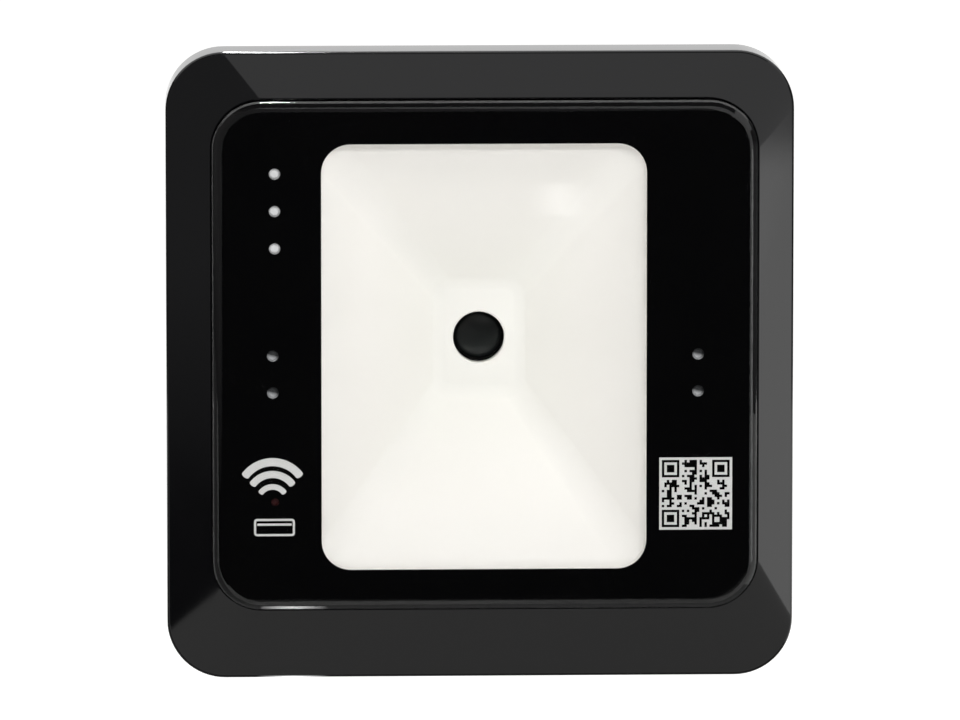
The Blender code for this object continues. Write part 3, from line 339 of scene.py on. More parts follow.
def makeReflectorFinish():
    # white ABS with a fine satin skin: bright and slightly warm, with painted shade that greys it deep in the
    # funnel
    material, tree, shader, base, coords = openFinish("satin moulded white ABS", {
        "colour": "#f8f6f2", "shade": "#f3f1ec", "cloudMm": 12, "smooth": 0.36, "rough": 0.46,
        "grainMm": 0.5, "reliefMm": 0.004, "ior": 1.5})
    split = addNode(tree, "ShaderNodeSeparateXYZ", {}, {"Vector": coords})
    # painted shade: the white turns greyer the deeper it lies in the funnel
    depth = addNode(tree, "ShaderNodeMapRange", {"From Min": panelY - 0.002, "From Max": panelY + 0.0098},
                    {"Value": split.outputs["Y"]})
    paintedDeepShade = addNode(tree, "ShaderNodeMix", {"data_type": "RGBA", 7: toLinear("#eeede8")},
                     {0: depth.outputs["Result"], 6: base})
    tree.links.new(paintedDeepShade.outputs[2], shader.inputs["Base Color"])
    return material


def makeSideLampFinish():
    # grey epoxy over a chip that is not lit, painted with light and shade: painted dark over most of it,
    # painted pale low down where light gets in, and a faint painted glow
    material, tree, shader, base, coords = openFinish("grey lamp resin", {
        "colour": "#c8c9cb", "shade": "#bcbec0", "cloudMm": 0.8, "smooth": 0.2, "rough": 0.35,
        "grainMm": 0.3, "reliefMm": 0.004, "glow": 0.3})
    share = addNode(tree, "ShaderNodeAttribute", {"attribute_name": "paintedLightSide"})
    side = addNode(tree, "ShaderNodeMapRange", {"From Min": 0.459, "From Max": 0.787},
                   {"Value": share.outputs["Fac"]})
    # painted shade and light: dark grey where little light gets into the hole, the resin's own tone where it
    # does; its glow follows the same split
    paintedLightHalves = addNode(tree, "ShaderNodeMix", {"data_type": "RGBA", 6: toLinear("#2a2b2c")},
                     {0: side.outputs["Result"], 7: base})
    tree.links.new(paintedLightHalves.outputs[2], shader.inputs["Base Color"])
    tree.links.new(paintedLightHalves.outputs[2], shader.inputs["Emission Color"])
    return material


def makeBoardFinish():
    # solder mask over copper tracks: green, with lighter tracks 0.5 mm wide and a woven haze
    material, tree, shader, base, coords = openFinish("green solder mask", {
        "colour": "#0f4a2a", "shade": "#0c4024", "cloudMm": 6, "smooth": 0.3, "rough": 0.42,
        "grainMm": 0.4, "reliefMm": 0.004, "ior": 1.55})
    turned = addNode(tree, "ShaderNodeMapping", {"Rotation": (math.pi / 2, 0, 0)}, {"Vector": coords})
    tracks = addNode(tree, "ShaderNodeTexBrick",
                     {"Scale": 1.0, "Mortar Size": 0.00025, "Mortar Smooth": 0.1, "Brick Width": 0.009,
                      "Row Height": 0.0013},
                     {"Vector": turned.outputs["Vector"]})
    mixed = addNode(tree, "ShaderNodeMix", {"data_type": "RGBA", 7: toLinear("#1f6b3d")},
                    {0: tracks.outputs["Fac"], 6: base})
    tree.links.new(mixed.outputs[2], shader.inputs["Base Color"])
    return material


def makeGlassFinish():
    # toughened float glass: clear, with a faint hand-wiped haze in its gloss; shadow rays pass it
    material = bpy.data.materials.new("toughened float glass")
    material.use_nodes = True
    tree = material.node_tree
    shader = tree.nodes["Principled BSDF"]
    shader.inputs["Base Color"].default_value = toLinear("#fefefe")
    shader.inputs["Transmission Weight"].default_value = 1.0
    shader.inputs["IOR"].default_value = 1.5
    coords = addNode(tree, "ShaderNodeTexCoord")
    haze = addNode(tree, "ShaderNodeTexNoise", {"Scale": 1000 / 22, "Detail": 4.0, "Distortion": 0.6},
                   {"Vector": coords.outputs["Object"]})
    gloss = addNode(tree, "ShaderNodeMapRange",
                    {"From Min": 0.35, "From Max": 0.7, "To Min": 0.0, "To Max": 0.03},
                    {"Value": haze.outputs["Fac"]})
    tree.links.new(gloss.outputs["Result"], shader.inputs["Roughness"])
    path = addNode(tree, "ShaderNodeLightPath")
    clear = addNode(tree, "ShaderNodeBsdfTransparent")
    mixed = addNode(tree, "ShaderNodeMixShader", {},
                    {0: path.outputs["Is Shadow Ray"], 1: shader.outputs[0], 2: clear.outputs[0]})
    tree.links.new(mixed.outputs[0], tree.nodes["Material Output"].inputs["Surface"])
    return material


def makeLensFinish():
    # coated lens glass: a soft charcoal disc with a faint cool sheen, and painted shade that darkens it towards
    # its top
    material, tree, shader, base, coords = openFinish("coated lens glass", {
        "colour": "#1a1c1c", "shade": "#141616", "cloudMm": 1.6, "smooth": 0.3, "rough": 0.4,
        "grainMm": 1.0, "reliefMm": 0.0001, "ior": 1.5})
    split = addNode(tree, "ShaderNodeSeparateXYZ", {}, {"Vector": coords})
    # painted shade: near black at the top of the disc, the plain tone at its bottom
    height = addNode(tree, "ShaderNodeMapRange",
                     {"From Min": windowAt[1] + 0.0018, "From Max": windowAt[1] - 0.0014},
                     {"Value": split.outputs["Z"]})
    depth = addNode(tree, "ShaderNodeMix", {"data_type": "RGBA", 6: toLinear("#030303")},
                    {0: height.outputs["Result"], 7: base})
    tree.links.new(depth.outputs[2], shader.inputs["Base Color"])
    shader.inputs["Coat Weight"].default_value = 0.2
    shader.inputs["Coat Roughness"].default_value = 0.1
    shader.inputs["Coat Tint"].default_value = toLinear("#bfd8d2")
    return material


whiteReflector = makeReflectorFinish()
greyResin = makeSideLampFinish()
boardGreen = makeBoardFinish()
coverClear = makeGlassFinish()
coatedLens = makeLensFinish()

nodeFinishes = {
    "front_bezel": glossBlack, "rear_cover": satinBlack, "cover_glass": coverClear, "mask_film": printedBlack,
    "glass_tape": foamBlack, "reflector": whiteReflector, "left_indicator_board": boardGreen,
    "right_indicator_board": boardGreen, "left_board_link": naturalNylon, "right_board_link": naturalNylon,
    "antenna_board": boardGreen, "antenna_coil": enamelCopper, "main_board": boardGreen,
    "lens_barrel": dullBlack, "lens_holder": satinBlack, "lens_glass": coatedLens, "image_sensor": chipEpoxy,
    "processor": chipEpoxy, "memory_chip": chipEpoxy, "radio_shield": tinnedSteel, "buzzer": satinBlack,
    "capacitor": tinnedSteel, "wire_header": naturalNylon, "antenna_socket": naturalNylon,
    "board_socket": naturalNylon, "board_flex": amberFilm, "housing_seal": siliconeGrey,
    "card_sensor": redResin,
}
familyFinishes = {
    "status_led": milkyResin, "side_led": greyResin, "antenna_screw": zincSteel, "board_screw": zincSteel,
    "cover_screw": zincSteel, "fixing_insert": turnedBrass, "header_pin": goldPin,
}
for name, node in nodes.items():
    finish = nodeFinishes.get(name)
    for family in familyFinishes:
        if name.startswith(family):
            finish = familyFinishes[family]
    node.data.materials.clear()
    node.data.materials.append(finish)
print("finishes set on the CAD nodes")


# front shell: its facets, and the recess that holds the glass
shell = {"width": 0.0860, "height": 0.0865, "corner": 0.0080, "rimLevel": 0.0080, "lipLevel": 0.0120,
         "recessWidth": 0.0748, "recessHeight": 0.0703, "recessCorner": 0.0070, "ledgeLevel": 0.0096,
         "ledgeWidth": 0.0688, "ledgeHeight": 0.0630, "ledgeCorner": 0.0040, "wall": 0.0022,
         "upperWall": 0.0036, "shoulder": 0.0040, "rimRound": 0.0005, "lipRound": 0.0003}


def makeShell(s):
    upper = (s["width"] - 2 * s["upperWall"], s["height"] - 2 * s["upperWall"], s["corner"] - s["upperWall"])
    bore = (s["width"] - 2 * s["wall"], s["height"] - 2 * s["wall"], s["corner"] - s["wall"])
    recess = (s["recessWidth"], s["recessHeight"], s["recessCorner"])
    ledge = (s["ledgeWidth"], s["ledgeHeight"], s["ledgeCorner"])
    piece = loftRings("front_shell", [
        ringAt(s["width"], s["height"], s["corner"], 0.0, edge=s["lipRound"]),
        ringAt(s["width"], s["height"], s["corner"], s["rimLevel"], edge=s["rimRound"]),
        ringAt(*recess, s["lipLevel"], panelAt, s["lipRound"]),
        ringAt(*recess, s["ledgeLevel"], panelAt),
        ringAt(*ledge, s["ledgeLevel"], panelAt),
        ringAt(*ledge, s["rimLevel"], panelAt),
        ringAt(*upper, s["rimLevel"]),
        ringAt(*upper, s["shoulder"]),
        ringAt(*bore, s["shoulder"]),
        ringAt(*bore, 0.0),
    ], closed=True, segments=16)
    settle(piece, glossBlack, "bezel_plastic", "front_bezel")


makeShell(shell)
print("front shell made")


# cover glass with a polished edge
glass = {"width": 0.0745, "height": 0.0700, "corner": 0.0067, "rear": 0.0112, "thickness": 0.0030,
         "bevel": 0.0010, "round": 0.0004}


def makeGlass(g):
    front = g["rear"] + g["thickness"]
    flat = (g["width"] - 2 * g["bevel"], g["height"] - 2 * g["bevel"], g["corner"] - g["bevel"])
    piece = loftRings("front_glass", [
        ringAt(g["width"], g["height"], g["corner"], g["rear"], panelAt),
        ringAt(g["width"], g["height"], g["corner"], front - g["bevel"], panelAt, g["round"]),
        ringAt(*flat, front, panelAt, g["round"]),
    ], segments=16)
    settle(piece, coverClear, "cover_glass", "cover_glass")


makeGlass(glass)

# printed film bonded behind the glass, with a window and a hole for each lamp
film = {"width": 0.0738, "height": 0.0693, "corner": 0.0064, "rear": 0.0105, "front": 0.0109,
        "windowWidth": 0.0445, "windowHeight": 0.0587, "windowCorner": 0.0040,
        "statusHole": 0.00078, "sideHole": 0.00080, "sensorHole": 0.00055, "clear": 0.0002}


def makeFilm(f):
    outer = (f["width"], f["height"], f["corner"])
    window = (f["windowWidth"], f["windowHeight"], f["windowCorner"])
    piece = loftRings("printed_film", [
        ringAt(*outer, f["rear"], panelAt),
        ringAt(*outer, f["front"], panelAt),
        ringAt(*window, f["front"], windowAt),
        ringAt(*window, f["rear"], windowAt),
    ], closed=True, segments=14)
    for name, spot in lampSpots.items():
        hole = f["sensorHole"] if name == "card_sensor" else f["statusHole" if "status" in name else "sideHole"]
        cutter = loftRings("hole_cutter", [
            roundAt(hole, f["rear"] - f["clear"], spot),
            roundAt(hole, f["front"] + f["clear"], spot)], segments=8)
        cutAway(piece, cutter)
    settle(piece, printedBlack, "black_film", "mask_film")


makeFilm(film)
print("glass and film made")


# white reflector funnel behind the window
funnel = {"windowWidth": 0.0445, "windowHeight": 0.0587, "windowCorner": 0.0040, "front": 0.0102,
          "slopeFront": 0.0092, "floorLevel": -0.0098, "floorWidth": 0.0119, "floorHeight": 0.0155,
          "floorCorner": 0.0026, "floorRound": 0.0012, "wall": 0.0016, "wingFront": 0.0077, "wingRear": 0.0056,
          "wingWidth": 0.0676, "wingHeight": 0.0672, "wingCorner": 0.0070, "lensHole": 0.00355,
          "holeRound": 0.0002, "mouthRound": 0.0003, "innerRound": 0.0002, "rimRound": 0.0003, "clear": 0.001}


def makeFunnel(f):
    window = (f["windowWidth"], f["windowHeight"], f["windowCorner"])
    rim = (f["windowWidth"] + 2 * f["wall"], f["windowHeight"] + 2 * f["wall"], f["windowCorner"] + f["wall"])
    wing = (f["wingWidth"], f["wingHeight"], f["wingCorner"])
    depth = f["slopeFront"] - f["floorLevel"]
    slopeX = (f["windowWidth"] - f["floorWidth"]) / 2 / depth
    slopeZ = (f["windowHeight"] - f["floorHeight"]) / 2 / depth

    def backAt(level):
        reach = level - f["floorLevel"]
        return (f["floorWidth"] + 2 * reach * slopeX + 2 * f["wall"] * math.hypot(1, slopeX),
                f["floorHeight"] + 2 * reach * slopeZ + 2 * f["wall"] * math.hypot(1, slopeZ))

    floorRear = f["floorLevel"] - f["wall"]
    piece = loftRings("reflector_funnel", [
        ringAt(f["floorWidth"], f["floorHeight"], f["floorCorner"], f["floorLevel"], windowAt, f["floorRound"]),
        ringAt(*window, f["slopeFront"], windowAt, f["mouthRound"]),
        ringAt(*window, f["front"], windowAt, f["innerRound"]),
        ringAt(*rim, f["front"], windowAt, f["rimRound"]),
        ringAt(*rim, f["wingFront"], windowAt),
        ringAt(*wing, f["wingFront"], panelAt),
        ringAt(*wing, f["wingRear"], panelAt),
        ringAt(*backAt(f["wingRear"]), f["windowCorner"], f["wingRear"], windowAt),
        ringAt(*backAt(floorRear), f["floorCorner"] + f["wall"] / 2, floorRear, windowAt),
    ], segments=14)
    cutter = loftRings("hole_cutter", [
        roundAt(f["lensHole"], floorRear - f["clear"], windowAt),
        roundAt(f["lensHole"], f["floorLevel"] - f["holeRound"], windowAt),
        roundAt(f["lensHole"] + f["holeRound"], f["floorLevel"], windowAt),
        roundAt(f["lensHole"] + f["holeRound"], f["floorLevel"] + f["clear"], windowAt),
    ], segments=20)
    cutAway(piece, cutter)
    settle(piece, whiteReflector, "white_plastic", "reflector")


makeFunnel(funnel)
print("reflector made")


# lens behind the hole in the funnel
lens = {"front": -0.0117, "headRadius": 0.0044, "headDepth": 0.0012, "barrelRadius": 0.0037,
        "length": 0.0060, "glassRadius": 0.0032, "glassRear": -0.0130, "stop": 0.0024,
        "headRound": 0.00015, "seatGap": 0.0003, "glassGap": 0.0001, "lipDepth": 0.0005,
        "lipInner": 0.00025, "lipOuter": 0.00045, "domeEdge": 0.0005, "domeRise": 0.0008, "domeRings": 14}


def makeLens(l):
    rear = l["front"] - l["length"]
    neck = l["front"] - l["headDepth"]
    seat = l["glassRear"] - l["seatGap"]
    bore = l["glassRadius"] + l["glassGap"]
    lip = l["front"] - l["lipDepth"]
    barrel = loftRings("lens_tube", [
        roundAt(l["headRadius"], l["front"], windowAt, l["headRound"]),
        roundAt(l["headRadius"], neck, windowAt),
        roundAt(l["barrelRadius"], neck, windowAt),
        roundAt(l["barrelRadius"], rear, windowAt),
        roundAt(l["stop"], rear, windowAt),
        roundAt(l["stop"], seat, windowAt),
        roundAt(bore, seat, windowAt),
        roundAt(bore, lip, windowAt),
        roundAt(bore + l["lipInner"], lip, windowAt),
        roundAt(bore + l["lipOuter"], l["front"], windowAt),
    ], closed=True, segments=12)
    settle(barrel, dullBlack, "cover_plastic", "lens_barrel")
    edge = l["glassRear"] + l["domeEdge"]
    dome = [roundAt(l["glassRadius"] * math.cos(t), edge + l["domeRise"] * math.sin(t), windowAt)
            for t in [math.pi / 2 * i / l["domeRings"] for i in range(l["domeRings"])]]
    element = loftRings("lens_element", [roundAt(l["glassRadius"], l["glassRear"], windowAt)] + dome,
                        segments=12, smooth=50)
    settle(element, coatedLens, "lens_glass", "lens_glass")


makeLens(lens)
print("lens made")


# indicator lamps: one modelled, the others copied
lamp = {"size": 0.0020, "corner": 0.0002, "rear": 0.0093, "base": 0.0005, "lensSize": 0.0016,
        "lensCorner": 0.000784, "lensSide": 0.00016, "lens": 0.0004, "tipSize": 0.00112, "tipCorner": 0.00054,
        "round": 0.00005, "paintedLightAcross": 0.205}


def markPaintedLightSide(piece, spot, l):
    # how far each point lies from the painted-dark upper right to the painted-pale lower left, from 0 to 1
    share = piece.data.attributes.new("paintedLightSide", "FLOAT", "POINT")
    for vert in piece.data.vertices:
        across = (vert.co.x - spot[0]) / l["size"] + 0.5
        up = (vert.co.z - spot[1]) / l["size"] + 0.5
        share.data[vert.index].value = 1 - l["paintedLightAcross"] * across - (1 - l["paintedLightAcross"]) * up


def makeLamps(l):
    at = lampSpots["status_led_1"]
    top = l["rear"] + l["base"]
    base = (l["size"], l["size"], l["corner"])
    dome = (l["lensSize"], l["lensSize"], l["lensCorner"])
    first = loftRings("lamp_model", [
        ringAt(*base, l["rear"], at),
        ringAt(*base, top, at, l["round"]),
        ringAt(*dome, top, at),
        ringAt(*dome, top + l["lensSide"], at, l["round"]),
        ringAt(l["tipSize"], l["tipSize"], l["tipCorner"], top + l["lens"], at, l["round"]),
    ], segments=6)
    for name, spot in lampSpots.items():
        piece = copyPiece(first, name.replace("led", "lamp") + "_dome", (spot[0] - at[0], 0, spot[1] - at[1]))
        markPaintedLightSide(piece, spot, l)
        finish = redResin if name == "card_sensor" else milkyResin if "status" in name else greyResin
        slot = "sensor_resin" if name == "card_sensor" else "lamp_resin"
        settle(piece, finish, slot, name)
    bpy.data.objects.remove(first, do_unlink=True)


makeLamps(lamp)
print("lamps made")


# prints under the glass: three arcs, a card outline and a square of modules
symbol = {"across": -0.02858, "up": (-0.01734, -0.01779, -0.01813), "radius": (0.00462, 0.00336, 0.00198),
          "thick": (0.00111, 0.00098, 0.00076), "halfAngle": 53, "endRound": 0.5, "level": 0.01093,
          "ink": 0.00005}


def makeSymbol(s):
    # half of each arc is spun from the flat side of its rounded end, then mirrored
    arcs = []
    for up, radius, thick in zip(s["up"], s["radius"], s["thick"]):
        bpy.ops.object.select_all(action="DESELECT")
        middle = Vector((s["across"], panelY - s["level"], up))
        bpy.ops.object.add(type="MESH", location=middle, enter_editmode=True)
        arc = bpy.context.object
        bpy.ops.mesh.select_mode(type="VERT")
        endAt = middle + Vector((radius, 0, 0))
        bpy.ops.mesh.primitive_circle_add(vertices=24, radius=thick / 2, fill_type="NGON", location=endAt,
                                          rotation=(math.pi / 2, 0, 0))
        bpy.ops.mesh.bisect(plane_co=endAt, plane_no=(0, 0, 1), clear_outer=True, threshold=1e-6)
        bpy.ops.mesh.select_all(action="SELECT")
        bpy.ops.transform.resize(value=(1, 1, s["endRound"]), center_override=endAt)
        work = bmesh.from_edit_mesh(arc.data)
        top = max(vert.co.z for vert in work.verts)
        for vert in work.verts:
            vert.select_set(vert.co.z > top - 1e-5)
        work.select_flush_mode()
        bmesh.update_edit_mesh(arc.data)
        bpy.ops.mesh.spin(steps=14, angle=math.radians(s["halfAngle"]), center=middle, axis=(0, 1, 0))
        bpy.ops.mesh.select_all(action="SELECT")
        bpy.ops.transform.rotate(value=math.radians(90 - s["halfAngle"]), orient_axis="Y",
                                 center_override=middle)
        bpy.ops.object.mode_set(mode="OBJECT")
        twin = arc.modifiers.new("other half", "MIRROR")
        twin.merge_threshold = 1e-5
        bpy.ops.object.modifier_apply(modifier=twin.name)
        bpy.ops.object.transform_apply(location=True)
        arcs.append(arc)
    piece = joinPieces("wireless_symbol", arcs)
    takeUp(piece)
    solid = piece.modifiers.new("ink", "SOLIDIFY")
    solid.thickness = s["ink"]
    solid.offset = 0.0
    bpy.ops.object.modifier_apply(modifier=solid.name)
    bpy.ops.object.mode_set(mode="EDIT")
    bpy.ops.mesh.select_all(action="SELECT")
    bpy.ops.mesh.remove_doubles(threshold=1e-6)
    bpy.ops.mesh.normals_make_consistent(inside=False)
    bpy.ops.object.mode_set(mode="OBJECT")
    settle(piece, whiteInk, "white_plastic")


makeSymbol(symbol)

pictogram = {"at": (-0.02832, -0.02177), "width": 0.0056, "height": 0.0024, "line": 0.0003, "level": 0.01091,
             "ink": 0.00005, "corner": 0.00045, "innerCorner": 0.00015, "stripeUp": 0.0004,
             "stripeCorner": 0.00005}


def makePictogram(p):
    outer = (p["width"], p["height"], p["corner"])
    inner = (p["width"] - 2 * p["line"], p["height"] - 2 * p["line"], p["innerCorner"])
    band = (p["width"] - 3 * p["line"], p["line"], p["stripeCorner"])
    top = p["level"] + p["ink"]
    piece = loftRings("card_pictogram", [
        ringAt(*outer, p["level"], p["at"]),
        ringAt(*outer, top, p["at"]),
        ringAt(*inner, top, p["at"]),
        ringAt(*inner, p["level"], p["at"]),
    ], closed=True, segments=6)
    stripeAt = (p["at"][0], p["at"][1] + p["stripeUp"])
    stripe = loftRings("stripe", [
        ringAt(*band, p["level"], stripeAt),
        ringAt(*band, top, stripeAt),
    ], segments=2)
    piece = joinPieces("card_pictogram", [piece, stripe])
    settle(piece, whiteInk, "white_plastic")


makePictogram(pictogram)

codeSquare = {"at": (0.0294, -0.01737), "size": 0.0100, "modules": 29, "seed": 7, "level": 0.01092,
              "ink": 0.00004}


def makeCodeSquare(c):
    # a made-up pattern of light and dark modules with three plain locating squares
    count = c["modules"]
    place = (c["at"][0], panelY - c["level"], c["at"][1])
    bpy.ops.object.select_all(action="DESELECT")
    bpy.ops.mesh.primitive_grid_add(x_subdivisions=count, y_subdivisions=count, size=c["size"],
                                    location=place, rotation=(math.pi / 2, 0, 0))
    piece = bpy.context.object
    piece.name = "code_square"
    bpy.ops.object.transform_apply(location=True, rotation=True)
    dice = random.Random(c["seed"])
    dark = [[dice.random() < 0.5 for _ in range(count)] for _ in range(count)]
    for cornerX, cornerZ in ((1, 1), (1, count - 8), (count - 8, count - 8)):
        for i in range(-1, 8):
            for j in range(-1, 8):
                ringNumber = max(abs(i - 3), abs(j - 3))
                if 0 <= cornerX + i < count and 0 <= cornerZ + j < count:
                    dark[cornerX + i][cornerZ + j] = ringNumber in (0, 1, 3)
    light = [[not dark[i][j] or i in (0, count - 1) or j in (0, count - 1) for j in range(count)]
             for i in range(count)]
    touching = True
    while touching:  # a light module is added wherever two would meet at a corner only
        touching = False
        for i in range(count - 1):
            for j in range(count - 1):
                across = light[i][j] and light[i + 1][j + 1] and not light[i + 1][j] and not light[i][j + 1]
                along = light[i + 1][j] and light[i][j + 1] and not light[i][j] and not light[i + 1][j + 1]
                if across or along:
                    light[i + 1][j + (0 if across else 1)] = True
                    touching = True
    bpy.ops.object.mode_set(mode="EDIT")
    work = bmesh.from_edit_mesh(piece.data)
    for face in work.faces:
        middle = face.calc_center_median()
        i = int((middle.x - c["at"][0] + c["size"] / 2) / c["size"] * count)
        j = int((middle.z - c["at"][1] + c["size"] / 2) / c["size"] * count)
        face.select_set(not light[i][j])
    bmesh.update_edit_mesh(piece.data)
    bpy.ops.mesh.delete(type="FACE")  # the film shows black through the gaps
    bpy.ops.object.mode_set(mode="OBJECT")
    solid = piece.modifiers.new("ink", "SOLIDIFY")
    solid.thickness = c["ink"]
    solid.offset = 0.0
    bpy.ops.object.modifier_apply(modifier=solid.name)
    settle(piece, whiteInk, "white_plastic")


makeCodeSquare(codeSquare)
print("prints made")


# rear housing that goes into the wall box
rear = {"boxWidth": 0.0660, "boxHeight": 0.0660, "boxCorner": 0.0050, "draft": 0.0005, "depth": 0.0290,
        "wall": 0.0020, "flangeWidth": 0.0810, "flangeHeight": 0.0815, "flangeCorner": 0.0055,
        "flange": 0.0024, "edge": 0.0008, "rootRound": 0.0003, "mouthCorner": 0.0035, "innerCorner": 0.0030,
        "screwHole": (0.0028, 0.0014), "insertHole": (0.0024, 0.0036), "entry": (0.0202, 0.0078, 0.0006),
        "clear": 0.001}


def makeRear(r):
    mouth = (r["boxWidth"] + 2 * r["draft"], r["boxHeight"] + 2 * r["draft"])
    piece = loftRings("rear_housing", [
        ringAt(r["boxWidth"], r["boxHeight"], r["boxCorner"], -r["depth"], edge=r["edge"]),
        ringAt(*mouth, r["boxCorner"] + r["draft"], 0.0, edge=r["rootRound"]),
        ringAt(r["flangeWidth"], r["flangeHeight"], r["flangeCorner"], 0.0, edge=r["rootRound"]),
        ringAt(r["flangeWidth"], r["flangeHeight"], r["flangeCorner"], r["flange"]),
        ringAt(mouth[0] - 2 * r["wall"], mouth[1] - 2 * r["wall"], r["mouthCorner"], r["flange"]),
        ringAt(r["boxWidth"] - 2 * r["wall"], r["boxHeight"] - 2 * r["wall"], r["innerCorner"],
               r["wall"] - r["depth"]),
    ], segments=12)
    for i in range(1, 5):
        for kind, (radius, depth) in (("cover_screw", r["screwHole"]), ("fixing_insert", r["insertHole"])):
            spot = middleOf(f"{kind}_{i}")
            cutter = loftRings("hole_cutter", [
                roundAt(radius, -r["clear"], spot), roundAt(radius, depth, spot)], segments=10)
            cutAway(piece, cutter)
    entryAt = middleOf("wire_header")
    cutter = loftRings("entry_cutter", [
        ringAt(*r["entry"], -r["depth"] - r["clear"], entryAt),
        ringAt(*r["entry"], r["wall"] - r["depth"] + r["clear"], entryAt)], segments=4)
    cutAway(piece, cutter)
    settle(piece, satinBlack, "cover_plastic", "rear_cover")


makeRear(rear)
print("rear housing made")


# floor, surroundings, light and camera
studio = {"floorLevel": -0.10, "floorWidth": 4.0, "floorFront": -0.19, "floorBack": 3.0,
          "floorColour": "#d8d8d6", "floorShade": "#dededc", "nearReach": 0.05, "farReach": 0.20,
          "paintedShadeNearGlow": 0.03, "farGlow": 0.60, "worldWhite": 0.92, "worldFill": 0.55}


def makeStage(s):
    bpy.ops.object.select_all(action="DESELECT")
    middleY = (s["floorFront"] + s["floorBack"]) / 2
    bpy.ops.mesh.primitive_plane_add(size=1, location=(0, middleY, s["floorLevel"]))
    floor = bpy.context.object
    floor.name = "floor"
    bpy.ops.object.transform_apply(location=True)
    bpy.ops.object.mode_set(mode="EDIT")
    bpy.ops.transform.resize(value=(s["floorWidth"], s["floorBack"] - s["floorFront"], 1),
                             center_override=(0, middleY, s["floorLevel"]))
    bpy.ops.mesh.subdivide(number_cuts=6)
    bpy.ops.object.mode_set(mode="OBJECT")
    material = bpy.data.materials.new("matt painted board")
    material.use_nodes = True
    tree = material.node_tree
    shader = tree.nodes["Principled BSDF"]
    coords = addNode(tree, "ShaderNodeTexCoord")
    cloud = addNode(tree, "ShaderNodeTexNoise", {"Scale": 6.0, "Detail": 2.0},
                    {"Vector": coords.outputs["Object"]})
    tone = addNode(tree, "ShaderNodeMix",
                   {"data_type": "RGBA", 6: toLinear(s["floorColour"]), 7: toLinear(s["floorShade"])},
                   {0: cloud.outputs["Fac"]})
    tree.links.new(tone.outputs[2], shader.inputs["Base Color"])
    shader.inputs["Roughness"].default_value = 0.9
    split = addNode(tree, "ShaderNodeSeparateXYZ", {}, {"Vector": coords.outputs["Object"]})
    # painted shade: the floor's glow fades almost to nothing near and under the object, so reflections of the
    # floor there are dark
    reach = addNode(tree, "ShaderNodeMapRange", {"From Min": -s["nearReach"], "From Max": s["farReach"],
                                                "To Min": s["paintedShadeNearGlow"], "To Max": s["farGlow"]},
                    {"Value": split.outputs["Y"]})
    glow = addNode(tree, "ShaderNodeMath", {"operation": "MULTIPLY"},
                   {0: seenRays(tree), 1: reach.outputs["Result"]})
    shader.inputs["Emission Color"].default_value = (1, 1, 1, 1)
    tree.links.new(glow.outputs[0], shader.inputs["Emission Strength"])
    floor.data.materials.append(material)

    world = bpy.data.worlds.new("studio")
    bpy.context.scene.world = world
    world.use_nodes = True
    tree = world.node_tree
    back = tree.nodes["Background"]
    level = addNode(tree, "ShaderNodeMapRange", {"To Min": s["worldFill"], "To Max": s["worldWhite"]},
                    {"Value": seenRays(tree)})
    back.inputs["Color"].default_value = (1, 1, 1, 1)
    tree.links.new(level.outputs["Result"], back.inputs["Strength"])


makeStage(studio)

# dark and bright cards, seen only as reflections: they keep the glass black and draw its edge lines
cards = {
    "card_front": {"azimuth": 4, "elevation": -8, "distance": 1.1, "width": 1.5, "height": 1.0, "glow": 0.01},
    "card_left": {"azimuth": -50, "elevation": 15, "distance": 0.55, "width": 1.08, "height": 1.5, "turn": -45,
                  "glow": 0.01, "topGlow": 0.22, "fade": (-0.115, -0.06)},
    # card_below: a dim sheet just under the object, painted shade on the floor there, seen only in reflections
    "card_below": {"azimuth": 180, "elevation": -85, "distance": 0.06, "width": 0.15, "height": 0.06,
                   "glow": 0.2},
    "card_above": {"azimuth": 0, "elevation": 84, "distance": 0.7, "width": 1.2, "height": 0.25,
                   "glow": 0.08},
    "card_right": {"azimuth": 96, "elevation": -5, "distance": 0.7, "width": 0.3, "height": 0.6,
                   "glow": 0.1},
    "card_glint": {"azimuth": -175.3, "elevation": 50.9, "distance": 0.515, "width": 0.014, "height": 0.24,
                   "glow": 200.0, "soft": 0.005},
    "card_mat": {"at": (-0.3714, -0.3982, -0.0995), "turn": 7.5, "width": 0.6, "height": 0.5,
                 "glow": 0.01},
    "card_mat_left": {"at": (-0.6675, 0.15, -0.0992), "width": 1.165, "height": 0.4,
                      "glow": 0.2},
    "card_behind_left": {"azimuth": -130, "elevation": -5, "distance": 0.7, "width": 0.85, "height": 0.9,
                         "glow": 0.06},
    "card_behind_right": {"azimuth": 130, "elevation": -5, "distance": 0.7, "width": 0.85, "height": 0.9,
                          "glow": 0.06},
    "card_glint_low": {"azimuth": 180, "elevation": -88, "distance": 0.058, "width": 0.07, "height": 0.04,
                       "glow": 9.0, "soft": 0.005, "centre": -0.0255},
    "card_spot": {"azimuth": 3.14, "elevation": -5.3, "distance": 0.897, "width": 0.018, "height": 0.007,
                  "glow": 1.2, "soft": 0.007},
}


